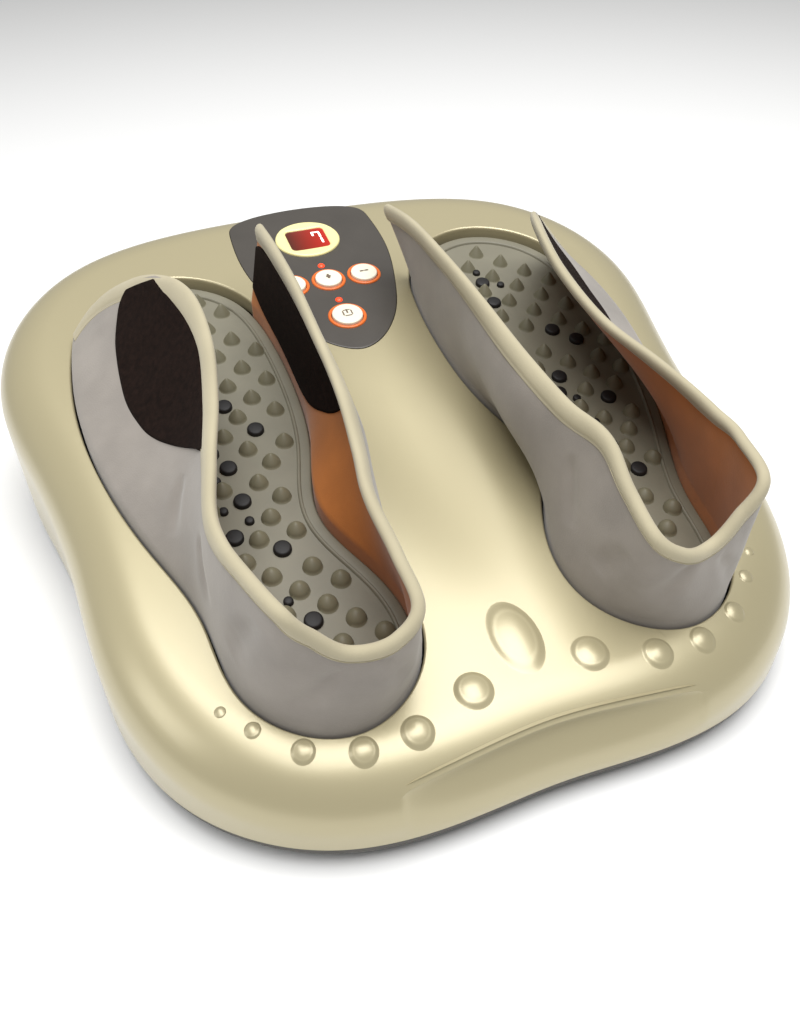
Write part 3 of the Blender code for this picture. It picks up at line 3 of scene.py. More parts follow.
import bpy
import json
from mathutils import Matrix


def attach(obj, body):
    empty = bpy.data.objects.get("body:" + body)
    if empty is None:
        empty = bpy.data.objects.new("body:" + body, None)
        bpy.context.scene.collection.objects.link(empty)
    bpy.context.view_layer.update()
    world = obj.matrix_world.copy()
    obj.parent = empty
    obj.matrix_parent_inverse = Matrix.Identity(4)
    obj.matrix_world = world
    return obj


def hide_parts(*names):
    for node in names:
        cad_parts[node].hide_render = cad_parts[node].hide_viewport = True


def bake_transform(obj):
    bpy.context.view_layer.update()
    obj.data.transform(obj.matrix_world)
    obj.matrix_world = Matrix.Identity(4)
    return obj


bl_info = {
    "name": "Foot massager",
    "version": (1, 0, 0),
    "blender": (4, 5, 0),
    "location": "View3D > Sidebar > Massager",
    "description": "Builds the finished surfaces of a sloping foot massager with two fabric sleeves",
    "category": "Add Mesh",
}

import json
import math

import bmesh
import bpy
import numpy as np
from mathutils import Vector

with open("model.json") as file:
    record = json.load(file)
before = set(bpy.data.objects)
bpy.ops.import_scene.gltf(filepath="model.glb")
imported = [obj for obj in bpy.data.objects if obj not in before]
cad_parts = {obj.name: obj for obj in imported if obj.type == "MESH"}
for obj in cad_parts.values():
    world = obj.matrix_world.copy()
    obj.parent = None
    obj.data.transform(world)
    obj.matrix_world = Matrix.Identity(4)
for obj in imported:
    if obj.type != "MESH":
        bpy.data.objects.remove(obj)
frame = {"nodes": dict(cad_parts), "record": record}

# Half outline of the case from the back to the front, as shares of half its width and half its depth
CASE_OUTLINE_SHARES = (
    (0, 1), (0.38, 0.985), (0.76, 0.865), (0.95, 0.64), (1, 0.41), (0.955, 0.13),
    (0.9, -0.2), (0.875, -0.5), (0.75, -0.79), (0.5, -0.965), (0.22, -1), (0, -0.992),
)
# Outline of the right foot from its toes round the big toe's side, as shares across and along the foot
FOOT_OUTLINE_SHARES = (
    (0.52, 1), (0.18, 0.935), (0.057, 0.79), (0.043, 0.645), (0.09, 0.5), (0.165, 0.36), (0.03, 0.22),
    (0.03, 0.077), (0.335, 0), (0.645, 0.077), (0.715, 0.22), (0.835, 0.36), (0.95, 0.51), (1, 0.65),
    (0.98, 0.8), (0.85, 0.936),
)
# Upper edge of the right sleeve: share of the way round the foot, shares across and along it and of the
# height
SLEEVE_EDGE_SHARES = (
    (0.091, -0.02, 0.925, 0.58), (0.14, -0.004, 0.795, 0.745), (0.1875, 0.004, 0.655, 0.84),
    (0.25, 0.027, 0.5, 0.885), (0.3125, 0.055, 0.355, 0.89), (0.36, 0.088, 0.25, 0.89),
    (0.411, 0.125, 0.145, 0.94), (0.44, 0.104, 0.075, 0.87), (0.46, 0.1, 0.006, 0.83),
    (0.48, 0.19, -0.012, 0.74), (0.505, 0.33, 0, 0.67), (0.53, 0.44, 0.006, 0.83), (0.55, 0.525, 0.012, 1),
    (0.575, 0.6, 0.1, 0.95), (0.61, 0.632, 0.175, 0.87), (0.6875, 0.575, 0.3, 0.845),
    (0.75, 0.492, 0.415, 0.825), (0.8125, 0.438, 0.53, 0.91), (0.87, 0.46, 0.63, 0.962),
    (0.909, 0.53, 0.705, 0.9),
)
# Shares of the way round the foot where the sleeve's parts end
MEDIAL_FRONT, MEDIAL_SEAM, LATERAL_SEAM, LATERAL_FRONT = 4 / 44, 18 / 44, 26 / 44, 40 / 44
# Seam and front of each side, and where its straight fold ends at the front as shares across and along
# the foot
SIDE_ENDS = {"lateral": (LATERAL_SEAM, LATERAL_FRONT), "medial": (MEDIAL_SEAM, MEDIAL_FRONT)}
FOLD_FRONT_SHARES = {"lateral": (0.835, 0.862), "medial": (0.045, 0.893)}
# Row of the sleeve at which the fold runs, where the well's edge is 0 and the upper edge is 1
FOLD_ROW_SHARE = 0.3
# Shares of the way round where the straight fold of each side turns up towards its seam
FOLD_TURN_SHARES = {"lateral": 0.698, "medial": 0.300}
# How much the fold climbs from there to the seam, in heights of the zone that bends
FOLD_CLIMB = 2.5
# Lower edges of the two fastening patches: share of the way round the foot and row of the sleeve
LOOP_PATCH_SHARES = (
    (0.702, 0.82), (0.7065, 0.76), (0.718, 0.59), (0.737, 0.41), (0.752, 0.33), (0.773, 0.285),
    (0.792, 0.27), (0.815, 0.285), (0.836, 0.32), (0.856, 0.37), (0.872, 0.44), (0.887, 0.54),
    (0.898, 0.66),
)
HOOK_PATCH_SHARES = (
    (0.0925, 0.13), (0.116, 0.05), (0.157, 0.03), (0.2, 0.05), (0.235, 0.15), (0.262, 0.3), (0.283, 0.47),
    (0.296, 0.66),
)
# Soft creases of the sleeve: share of the way round and row of both ends
CREASE_SHARES = (
    (0.488, 0.86, 0.470, 0.24), (0.512, 0.70, 0.533, 0.16), (0.560, 0.80, 0.577, 0.30),
    (0.452, 0.62, 0.437, 0.22), (0.640, 0.66, 0.612, 0.26), (0.385, 0.72, 0.405, 0.28),
    (0.700, 0.52, 0.672, 0.20),
)
# Half outline of the control panel, as shares of its half width and half length
PANEL_OUTLINE_SHARES = (
    (0, 1), (0.4, 0.985), (0.75, 0.935), (0.95, 0.85), (1, 0.72), (1, 0.2), (0.84, -0.27), (0.66, -0.6),
    (0.43, -0.83), (0.17, -0.97), (0, -1),
)
# Relief domes, as shares of half the case's width and depth, with their diameters
DOME_PLACES_SHARES = (
    (0.14, -0.833), (0.286, -0.878), (0.403, -0.88), (0.517, -0.842), (0.6, -0.77), (0.652, -0.713),
)
DOME_DIAMETERS = (0.017, 0.014, 0.012, 0.010, 0.007, 0.005)
SCREW_PLACES_SHARES = ((0.721, -0.67), (0.9, 0.392), (0.423, 0.842))
FOOT_PAD_PLACES_SHARES = ((0.597, -0.756), (0.721, 0.67))
# Magnets of the right foot plate, as shares across and along the foot
MAGNET_PLACES_SHARES = (
    (0.392, 0.643), (0.291, 0.574), (0.463, 0.502), (0.452, 0.427), (0.361, 0.318), (0.343, 0.181),
    (0.461, 0.84), (0.65, 0.666), (0.738, 0.628), (0.518, 0.541), (0.684, 0.466), (0.582, 0.294),
    (0.45, 0.775), (0.53, 0.36),
)
# Small studs between them
STUD_PLACES_SHARES = (
    (0.54, 0.416), (0.45, 0.386), (0.409, 0.224), (0.466, 0.875), (0.551, 0.825), (0.53, 0.48),
)
# Spacing of the nubs in a row, as a share of the foot's width, by the share along the foot
NUB_PITCH_SHARES = ((0, 0.17), (0.25, 0.17), (0.41, 0.15), (0.7, 0.19), (1, 0.2))
# Section of the binding, from its outer hem over the edge to its inner hem: share of its width down the
# wall, and offset from the wall as a share of its thickness. It is fullest in its outer half, and a
# stitch line draws it in above the outer hem.
BINDING_SECTION = (
    (1, 0.36), (0.98, 0.47), (0.93, 0.52), (0.86, 0.455), (0.79, 0.53), (0.64, 0.575), (0.46, 0.565),
    (0.3, 0.51), (0.16, 0.41), (0.05, 0.24), (0.005, 0.03), (0.04, -0.17), (0.14, -0.33), (0.3, -0.43),
    (0.45, -0.44), (0.61, -0.37), (0.75, -0.26), (0.84, -0.19), (0.93, -0.18), (0.98, -0.13), (1, -0.04),
)
# Sign along x and name of each half of the object
SIDES = ((1, "right"), (-1, "left"))
# Steps round a foot plate and its well
FOOT_STEPS = 240

# Front scoop: half width, depth, height of its lowest point, and the turns of its edge in degrees from
# the wall
SCOOP_HALF_WIDTH, SCOOP_DEPTH, SCOOP_BOTTOM = 0.072, 0.0165, 0.0165
SCOOP_END_TURN, SCOOP_CROWN_TURN = 36, 15
# How much closer the case's columns stand at its front than at its back
FRONT_CROWDING = 0.7
# Hollow of the deck: half width, half length and its middle
HOLLOW_HALF_WIDTH, HOLLOW_HALF_LENGTH, HOLLOW_MIDDLE = 0.037, 0.100, -0.040
# Gap between foot plate and well, how far the cutter reaches down, and the turn at which the rounded edge
# ends
WELL_GAP, WELL_CUT_DEPTH, WELL_EDGE_TURN = 0.0034, 0.012, 78
# Collar round each well: its inner and outer reach from the foot plate, and its top and bottom under the
# deck
COLLAR_INNER, COLLAR_OUTER, COLLAR_TOP, COLLAR_BOTTOM = 0.0035, 0.0054, 0.0024, 0.009
# Gap round the panel, and the bottom and top of its pocket from the deck
POCKET_GAP, POCKET_LOW, POCKET_HIGH = 0.0003, -0.0075, 0.0085
# Inlet in the back wall: width, height, corner, and its middle above the floor
INLET_WIDTH, INLET_HEIGHT, INLET_CORNER, INLET_MIDDLE, INLET_CUT = 0.0266, 0.0166, 0.001, 0.034, 0.02
# Tray: height of its underside, gap under the cover, inset from the case, radius and inset of its floor
TRAY_BOTTOM, TRAY_GAP, TRAY_INSET, TRAY_ROUND, TRAY_FLOOR_INSET = 0.003, 0.0003, 0.0004, 0.009, 0.012
# Vent slots under each foot, and how high their cutters reach
VENT_MIDDLE_SHARES = (0.47, 0.56)
VENT_LENGTH, VENT_WIDTH, VENT_CORNER, VENT_PITCH, VENT_CUT = 0.040, 0.0035, 0.0017, 0.009, 0.0205
SCREW_HOLE_RADIUS, SCREW_HOLE_CUT = 0.0043, 0.0075
# Rubber feet
PAD_BOTTOM_RADIUS, PAD_TOP_RADIUS, PAD_HEIGHT, PAD_EDGE = 0.0124, 0.013, 0.0027, 0.0008
# Sleeve: gap to the foot plate, height of its base above the deck, and length of one row of its hem under
# that
SLEEVE_GAP, SLEEVE_BASE, HEM_ROW_HEIGHT, HEM_ROW = 0.0004, 0.0035, 0.018, -0.8
# How far the cloth's inner face lies inside the sleeve's surface, and how far the wall ends under its
# bound edge
FABRIC_SINK, WALL_TOP_GAP = 0.0004, 0.0028
# Share of the way round over which the padding fades at the fronts, and its slow waves as a share of its
# thickness
PADDING_FADE, WAVE_SHARE = 0.03, 0.35
PADDING_POWER, PADDING_SHARE, LINING_SHARE = 0.8, 0.8, 0.3
WAVE_ALONG, WAVE_UP, CROSS_WAVE_ALONG, CROSS_WAVE_UP = 71, 3.1, 37, 5
# Length of the whole way round and of the wall's height, by which the creases are laid out, and the
# creases' sizes
ROUND_LENGTH, ROW_LENGTH = 0.72, 0.06
CREASE_DEPTH, CREASE_HALF_WIDTH, CREASE_SPREAD = 0.0016, 0.0035, 0.004
# Step of share and row over which the surface's slopes are taken
SLOPE_STEP = 0.0015
# Lateral front corner: its reach as a share of the way round and its drop in rows; the share by which the
# wall stops short of the lateral front, and the rows by which its top drops at the medial front
CORNER_REACH, CORNER_DROP, LATERAL_TRIM, MEDIAL_DROP = 0.022, 0.22, 0.006, 0.16
# Share of the way round at the middle of the heel
HEEL_SHARE = 0.505
# Binding: last row at the front, step along the edge, and how much broader it is at the corner
BINDING_END_ROW, BINDING_STEP, BINDING_CORNER = -0.02, 0.0011, 0.0040
BINDING_HEEL_REACH, BINDING_HEEL_FLAT = 0.13, 1.8
BUMP_SHARE, BUMP_REACH = 0.868, 0.07
# Fastening patches: overlap with the binding, more of it at the corner, lift off the cloth and depth into
# it
PATCH_OVERLAP, PATCH_CORNER, PATCH_LIFT, PATCH_SINK = 0.0012, 0.0035, 0.00005, 0.0006
# Foot plate: drop of its skirt and rim under the deck, and width and height of the rim's round
PLATE_SKIRT, RIM_DROP, RIM_ROUND = 0.018, 0.0042, (0.0014, 0.0024)
# Raised bead: inset and drop where it starts, inset and drop of its crest, foot and widths of its two
# flanks
BEAD_FOOT, BEAD_INSET, BEAD_DROP, BEAD_OUTER_FOOT = (0.0052, 0.0044), 0.0066, 0.0035, 0.0045
BEAD_OUTER_WIDTH, BEAD_INNER_WIDTH = 0.0009, 0.0011
# Drop of the plate's floor under the deck, and the inset and drop where it starts
FLOOR_DROP, FLOOR_START = 0.0050, (0.0090, 0.0051)
# Rows of nubs as shares of the foot's length: first row, pitch at the heel and its growth; the middle
# across
NUB_FIRST_ROW, NUB_ROW_PITCH, NUB_ROW_SPREAD, NUB_MIDDLE = 0.03, 0.0335, 0.0095, 0.438
# Least distance of a nub's middle from the outline and of its root from a magnet's middle, and its sink
NUB_RIM_GAP, NUB_MAGNET_GAP, NUB_SINK = 0.011, 0.0035, 0.0002
MAGNET_HEIGHT, STUD_HEIGHT, MAGNET_SINK, MAGNET_EDGE = 0.0026, 0.0022, 0.0004, 0.0014
# Control panel: bottom and top of its plate from the deck, inset of its edge, gap round a button and
# reach of a cut
PLATE_LOW, PLATE_TOP, PLATE_INSET, BUTTON_GAP, HOLE_CUT = -0.0012, 0.0004, 0.0009, 0.0006, 0.003
# Rounded edge of the panel's plate: inset and height
PLATE_EDGE = ((0, PLATE_LOW), (0, -0.0001), (0.0001, 0.0002), (0.0004, 0.00038), (PLATE_INSET, PLATE_TOP))
# Section of the bezel: share of the way in from its oval to the window, and height
BEZEL_SECTION = (
    (0, 0.0003), (0, 0.0008), (0.03, 0.00125), (0.09, 0.00165), (0.2, 0.0019), (0.45, 0.0019),
    (0.7, 0.0017), (0.9, 0.0014), (0.97, 0.0011), (1, 0.0006), (1, 0.0003),
)
# Window: corner, bottom, edge height and dome, and half the width over which the glow behind it grows
WINDOW_CORNER, WINDOW_LOW, WINDOW_EDGE, WINDOW_DOME, GLOW_REACH = 0.003, 0.0003, 0.0008, 0.0006, 0.012
# Printed and lit marks: how far a bar reaches into its face and stands off it
MARK_SINK, SEGMENT_LIFT, MARK_LIFT = 0.0002, 0.00004, 0.00005
# Button: foot, drop and width of its rounded edge, its height, and the dome of its face
BUTTON_FOOT, BUTTON_EDGE_DROP, BUTTON_EDGE, FACE_DROP, FACE_DOME = -0.0016, 0.0010, 0.0008, 0.0002, 0.0005
# Trim ring: gap to the button, foot, base and height of its round
RING_GAP, RING_FOOT, RING_BASE, RING_ROUND = 0.0003, 0.0003, 0.0004, 0.0010
# Lamps: distance from a button's edge, radius, base and height, and their turn from straight up by button
LAMP_REACH, LAMP_RADIUS, LAMP_BASE, LAMP_DOME = 0.0071, 0.0022, 0.0004, 0.0012
LAMP_TURNS = {"left": -0.26, "middle": 0.0, "lower": 0.0}
# Floor: half its side and its gap under the rubber feet; strength of the studio's even light
FLOOR_REACH, FLOOR_GAP, SKY_STRENGTH = 6.0, 0.0002, 0.32
# Camera at the photograph's viewing angle: turn and height in radians, distance and what it looks at
CAMERA_AZIMUTH, CAMERA_ELEVATION, CAMERA_DISTANCE = -0.3727, 0.7103, 0.5048
CAMERA_TARGET, CAMERA_LENS, CAMERA_SHIFT = (0, -0.030, 0.030), 31.58, (-0.0118, -0.0054)
# Oval dome: place along y, half width, half length and height
OVAL_DOME = (-0.156, 0.0100, 0.0160, 0.0028)
# Round domes: half width and height as shares of their diameter
DOME_REACH_SHARE, DOME_HEIGHT_SHARE = 0.44, 0.15
# Dome section: reach of its foot, reach and height of its crease, and how far its skirt goes under the skin
DOME_FOOT, DOME_CREASE, DOME_CREASE_HEIGHT, DOME_SINK, DOME_SKIRT = 1.25, 0.8, 0.58, 0.00008, 0.0012


def linear(code):
    """An sRGB hex colour as linear values."""
    value = np.array([int(code[i:i + 2], 16) for i in (0, 2, 4)]) / 255
    return tuple(np.where(value < 0.04045, value / 12.92, ((value + 0.055) / 1.055) ** 2.4))


def size_property(name, description, default):
    """A length that a user may change."""
    return bpy.props.FloatProperty(name=name, description=description, default=default, unit="LENGTH")


def colour_property(name, description, code):
    """A colour that a user may change."""
    return bpy.props.FloatVectorProperty(
        name=name, description=description, default=linear(code), subtype="COLOR", size=3, min=0, max=1
    )


class CaseSizes(bpy.types.PropertyGroup):
    width: size_property("Width", "Widest part of the case", 0.402)
    depth: size_property("Depth", "Case from front to back", 0.418)
    front_height: size_property("Front height", "Deck height at the heels", 0.045)
    back_height: size_property("Back height", "Deck height at the toes", 0.118)
    wall: size_property("Wall", "Thickness of the mouldings", 0.0024)
    shoulder_inset: size_property("Shoulder inset", "How far the rounded shoulder reaches in", 0.030)
    shoulder_drop: size_property("Shoulder drop", "How far the rounded shoulder reaches down", 0.024)
    split_height: size_property("Parting line", "Height of the joint between cover and tray", 0.014)
    hollow_depth: size_property("Hollow depth", "Dip of the deck between the sleeves", 0.0035)
    well_edge: size_property("Well edge", "Radius of the rounded edge of each foot well", 0.0012)


class FootSizes(bpy.types.PropertyGroup):
    length: size_property("Length", "Foot plate from heel to toe", 0.3126)
    width: size_property("Width", "Foot plate across the ball of the foot", 0.1175)
    across: size_property("Across", "Middle of the foot plate from the middle of the case", 0.09975)
    along: size_property("Along", "Middle of the foot plate towards the toes", -0.0167)
    nub_radius: size_property("Nub radius", "Radius of a nub at its root", 0.0050)
    nub_toe_height: size_property("Nub height at the toes", "Height of the pointed nubs", 0.0080)
    nub_heel_height: size_property("Nub height at the heel", "Height of the round nubs", 0.0048)
    magnet_radius: size_property("Magnet radius", "Radius of the larger magnets", 0.0045)
    stud_radius: size_property("Stud radius", "Radius of the small magnets", 0.0024)


class SleeveSizes(bpy.types.PropertyGroup):
    height: size_property("Height", "Sleeve above the deck at its highest", 0.073)
    fabric: size_property("Fabric", "Thickness of the padded fabric", 0.0024)
    padding: size_property("Padding", "Extra thickness where the padding is full", 0.0012)
    fold_height: size_property("Fold height", "Fold of the sides above the deck", 0.021)
    fold_zone: size_property("Fold zone", "Height over which the sides bend", 0.026)
    binding_width: size_property("Binding width", "Reach of the bound edge down the wall", 0.0098)
    binding_heel_width: size_property("Heel binding width", "Reach of the bound edge at the heel", 0.0062)
    binding_thickness: size_property("Binding thickness", "Thickness of the bound edge", 0.0056)
    patch: size_property("Patch", "Thickness of the fastening patches", 0.0009)


class PanelSizes(bpy.types.PropertyGroup):
    width: size_property("Width", "Control panel across", 0.094)
    length: size_property("Length", "Control panel along the deck", 0.149)
    along: size_property("Along", "Middle of the panel towards the toes", 0.120)
    button_pitch: size_property("Button pitch", "Spacing of the row of buttons", 0.0232)
    button_row: size_property("Button row", "Row of buttons from the panel's middle", -0.0075)
    button_diameter: size_property("Button diameter", "Buttons of the row", 0.0165)
    lower_button: size_property("Lower button", "Lower button from the panel's middle", -0.0445)
    lower_diameter: size_property("Lower diameter", "Lower button", 0.0185)
    button_rise: size_property("Button rise", "Buttons above the deck", 0.0028)
    ring_width: size_property("Ring width", "Trim ring round each button", 0.0021)
    display: size_property("Display", "Middle of the display from the panel's middle", 0.0375)
    display_width: size_property("Display width", "Oval bezel across", 0.042)
    display_length: size_property("Display length", "Oval bezel along the deck", 0.038)
    window_width: size_property("Window width", "Display window across", 0.0255)
    window_length: size_property("Window length", "Display window along the deck", 0.0215)


class MassagerColours(bpy.types.PropertyGroup):
    paint: colour_property("Paint", "Champagne paint of the case", "B4AA88")
    fabric: colour_property("Fabric", "Outer cloth of the sleeves", "8C857D")
    lining: colour_property("Lining", "Inner cloth of the sleeves", "B06A2C")
    binding: colour_property("Binding", "Bound edges of the sleeves", "AFA68B")
    plate: colour_property("Plate", "Foot plates", "797565")
    panel: colour_property("Panel", "Control panel", "48443F")
    button: colour_property("Buttons", "Push buttons", "EBE6D2")
    ring: colour_property("Rings", "Trim rings of the buttons", "E2702F")


def deck_height(y):
    """Height of the sloping deck at y."""
    case = bpy.context.scene.massager_case
    slope = (case.back_height - case.front_height) / case.depth
    return (case.front_height + case.back_height) / 2 + slope * y


def deck_tilt():
    """Angle of the deck."""
    case = bpy.context.scene.massager_case
    return math.atan((case.back_height - case.front_height) / case.depth)


def closed_spline(points, at):
    """Closed cubic spline through the points, read at shares of its chord length."""
    points = np.asarray(points, float)
    count = len(points)
    ahead = np.roll(points, -1, axis=0) - points
    chord = np.linalg.norm(ahead, axis=1)
    before = np.roll(chord, 1)
    grade = ahead / chord[:, None]
    rows = np.arange(count)
    system = np.zeros((count, count))
    system[rows, rows] = 2 * (chord + before)
    system[rows, (rows + 1) % count] = chord
    system[rows, (rows - 1) % count] = before
    bend = np.linalg.solve(system, 6 * (grade - np.roll(grade, 1, axis=0)))
    knots = np.concatenate([[0], np.cumsum(chord)])
    at = np.mod(at, 1) * knots[-1]
    i = np.clip(np.searchsorted(knots, at, side="right") - 1, 0, count - 1)
    j = (i + 1) % count
    span = chord[i][:, None]
    done = at[:, None] - knots[i][:, None]
    left = span - done
    return (
        (bend[i] * left**3 + bend[j] * done**3) / (6 * span)
        + (points[i] / span - bend[i] * span / 6) * left
        + (points[j] / span - bend[j] * span / 6) * done
    )


def smooth_through(knots, values, at):
    """Cubic Hermite curve through the values, with each tangent taken from its neighbours."""
    tangents = np.gradient(values, knots, axis=0)
    i = np.clip(np.searchsorted(knots, at, side="right") - 1, 0, len(knots) - 2)
    span = (knots[i + 1] - knots[i])[:, None]
    u = ((at - knots[i]) / span[:, 0])[:, None]
    return (
        (2 * u**3 - 3 * u**2 + 1) * values[i]
        + (u**3 - 2 * u**2 + u) * span * tangents[i]
        + (3 * u**2 - 2 * u**3) * values[i + 1]
        + (u**3 - u**2) * span * tangents[i + 1]
    )


def both_halves(half):
    """A symmetric closed outline, counterclockwise from its front, from its right half."""
    left = [(-x, y) for x, y in half if x > 0]
    return list(half)[::-1] + left


def unit(vectors):
    """Vectors brought to a length of one."""
    return vectors / np.linalg.norm(vectors, axis=-1, keepdims=True)


def smooth_step(u):
    """u^2 (3 - 2 u), with u held between 0 and 1."""
    u = np.clip(u, 0, 1)
    return u**2 * (3 - 2 * u)


def outward_of(loop):
    """Outward unit normals of a counterclockwise loop."""
    along = np.roll(loop, -1, axis=0) - np.roll(loop, 1, axis=0)
    return unit(np.stack([along[:, 1], -along[:, 0]], axis=1))


def offset_loop(loop, distance):
    """A counterclockwise loop moved outwards by a distance."""
    return loop + distance * outward_of(loop)


def circle(steps, radius=1.0):
    """A counterclockwise circle."""
    angle = np.arange(steps) * 2 * math.pi / steps
    return np.stack([np.cos(angle), np.sin(angle)], axis=1) * radius


def rounded_rectangle(width, length, radius, steps):
    """A counterclockwise rectangle with round corners."""
    turns = np.arange(steps + 1) * math.pi / 2 / steps
    arc = np.stack([np.cos(turns), np.sin(turns)], axis=1) * radius
    corner = arc + (width / 2 - radius, length / 2 - radius)
    half = np.concatenate([corner, corner[::-1] * (-1, 1)])
    return np.concatenate([half, -half])


def case_outline(at):
    """Points of the case's outline at shares of the way round from its front."""
    case = bpy.context.scene.massager_case
    half = [(x * case.width / 2, y * case.depth / 2) for x, y in CASE_OUTLINE_SHARES]
    return closed_spline(both_halves(half), at)


def case_place(across, along):
    """A place given by shares of half the case's width and depth."""
    case = bpy.context.scene.massager_case
    return across * case.width / 2, along * case.depth / 2


def foot_place(across, along):
    """A place given by shares across and along the right foot."""
    foot = bpy.context.scene.massager_foot
    return foot.across + (across - 0.5) * foot.width, foot.along + (along - 0.5) * foot.length


def foot_loop(at, offset=0.0):
    """Points of the right foot's outline at shares of the way round from its toes, moved outwards."""
    fine = np.linspace(0, 1, 704, endpoint=False)
    loop = closed_spline([foot_place(*share) for share in FOOT_OUTLINE_SHARES], fine)
    loop = offset_loop(loop, offset)
    at = np.mod(at, 1) * len(fine)
    low = np.floor(at).astype(int)
    part = (at - low)[:, None]
    return loop[low % len(fine)] * (1 - part) + loop[(low + 1) % len(fine)] * part


def along_foot(at, profile):
    """Grid of a profile carried round the right foot: (reach out from its outline, height above the
    deck)."""
    loops = [(foot_loop(at, reach), height) for reach, height in profile]
    return np.array([level(loop, deck_height(loop[:, 1]) + height) for loop, height in loops])


def panel_loop(steps, offset=0.0):
    """The control panel's outline in its own frame."""
    panel = bpy.context.scene.massager_panel
    half = [(x * panel.width / 2, v * panel.length / 2) for x, v in PANEL_OUTLINE_SHARES]
    return offset_loop(closed_spline(both_halves(half), np.arange(steps) / steps), offset)


def level(loop, heights):
    """A loop with its heights."""
    return np.column_stack([loop, np.broadcast_to(heights, len(loop))])


def on_panel(points):
    """Points of the panel's own frame, square to the deck, as points of the case."""
    tilt = deck_tilt()
    along = bpy.context.scene.massager_panel.along
    y = points[..., 1] * math.cos(tilt) - points[..., 2] * math.sin(tilt) + along
    z = points[..., 1] * math.sin(tilt) + points[..., 2] * math.cos(tilt) + deck_height(along)
    return np.stack([points[..., 0], y, z], axis=-1)


def mirrored(grid):
    """A grid mirrored to the left, with its columns turned round so that its faces still point outwards."""
    return grid[:, ::-1] * (-1, 1, 1)


def edge_taper(count, steps):
    """Shares of a full thickness along a row of points, rounded off over this many steps at both ends."""
    near = np.minimum(np.arange(count), np.arange(count)[::-1]) / steps
    return np.sqrt(1 - (1 - np.clip(near, 0, 1)) ** 2)


def closed_round(grid, *caps):
    """A patch whose rows close round, with the named ends capped."""
    return grid, False, True, caps, 0


def hoop(grid):
    """A patch that is closed both ways."""
    return grid, True, True, (), 0


def padded_band(outer, inner, inner_number=0):
    """Patches of a closed slab between two faces: a band up its outer face and down its inner one, and
    both ends."""
    band = np.concatenate([outer, inner[::-1]])
    number = np.zeros((len(band), band.shape[1] - 1), int)
    number[len(outer) - 1:-1] = inner_number
    return [
        (band, True, False, (), number.ravel()),
        (np.stack([inner[:, 0], outer[:, 0]], axis=1), False, False, (), 0),
        (np.stack([outer[:, -1], inner[:, -1]], axis=1), False, False, (), 0),
    ]


def on_side(side, patches):
    """Patches of the right side, mirrored for the left one."""
    if side > 0:
        return patches
    made = []
    for grid, wrap_rows, wrap_columns, caps, number in patches:
        if np.ndim(number):
            number = np.reshape(number, (-1, grid.shape[1] - 1))[:, ::-1].ravel()
        made.append((mirrored(grid), wrap_rows, wrap_columns, caps, number))
    return made


def path_lengths(points):
    """Length of a path from its start to each of its points."""
    return np.concatenate([[0], np.cumsum(np.linalg.norm(np.diff(points, axis=0), axis=1))])


def evenly(loop, steps):
    """A closed loop read at even steps of its length."""
    closed = np.vstack([loop, loop[:1]])
    gone = path_lengths(closed)
    at = np.arange(steps) / steps * gone[-1]
    return np.stack([np.interp(at, gone, closed[:, i]) for i in (0, 1)], axis=1)


def quads(rows, columns, wrap_rows, wrap_columns, first):
    """Corner numbers of a grid's faces."""
    index = np.arange(rows * columns).reshape(rows, columns) + first
    if wrap_rows:
        index = np.vstack([index, index[:1]])
    if wrap_columns:
        index = np.hstack([index, index[:, :1]])
    corners = (index[:-1, :-1], index[:-1, 1:], index[1:, 1:], index[1:, :-1])
    return np.stack(corners, axis=-1).reshape(-1, 4)


def make_mesh(name, patches, sharp_angle=40.0, weld=0.000002):
    """An object from patches: (grid of points, closed by rows, closed round, caps, material number or
    numbers)."""
    points, faces, numbers = [], [], []
    first = 0
    for grid, wrap_rows, wrap_columns, caps, number in patches:
        rows, columns = grid.shape[:2]
        made = quads(rows, columns, wrap_rows, wrap_columns, first)
        points.append(grid.reshape(-1, 3))
        faces += made.tolist()
        numbers += np.broadcast_to(number, len(made)).tolist()
        if "low" in caps:
            faces.append((first + np.arange(columns))[::-1].tolist())
            numbers.append(int(np.ravel(number)[0]))
        if "high" in caps:
            faces.append((first + (rows - 1) * columns + np.arange(columns)).tolist())
            numbers.append(int(np.ravel(number)[0]))
        first += rows * columns
    mesh = bpy.data.meshes.new(name)
    mesh.from_pydata(np.concatenate(points).tolist(), [], faces)
    mesh.polygons.foreach_set("material_index", np.array(numbers, dtype=np.int32))
    shape = bmesh.new()
    shape.from_mesh(mesh)
    bmesh.ops.remove_doubles(shape, verts=shape.verts, dist=weld)
    bmesh.ops.dissolve_degenerate(shape, edges=shape.edges, dist=weld)
    shape.to_mesh(mesh)
    shape.free()
    made = bpy.data.objects.new(name, mesh)
    bpy.context.scene.collection.objects.link(made)
    shade(made, sharp_angle)
    return made


def shade(piece, sharp_angle):
    """Shades a piece smooth, apart from edges that turn by more than this angle in degrees."""
    piece.data.shade_smooth()
    piece.data.set_sharp_from_angle(angle=math.radians(sharp_angle))


def dress(piece, body, slot, *materials):
    """Gives a piece its materials and the body that it rides on. The slot is not used."""
    for material in materials:
        piece.data.materials.append(material)
    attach(piece, body)
    return piece


def apply_modifiers(piece):
    """Replaces a piece's mesh by the one that its modifiers make."""
    graph = bpy.context.evaluated_depsgraph_get()
    mesh = bpy.data.meshes.new_from_object(piece.evaluated_get(graph))
    piece.modifiers.clear()
    piece.data = mesh


def cut(piece, cutter, operation="DIFFERENCE"):
    """Cuts a closed mesh from a piece, or joins it to the piece, and removes it."""
    modifier = piece.modifiers.new("Cut", "BOOLEAN")
    modifier.object = cutter
    modifier.operation = operation
    modifier.solver = "EXACT"
    apply_modifiers(piece)
    bpy.data.objects.remove(cutter)


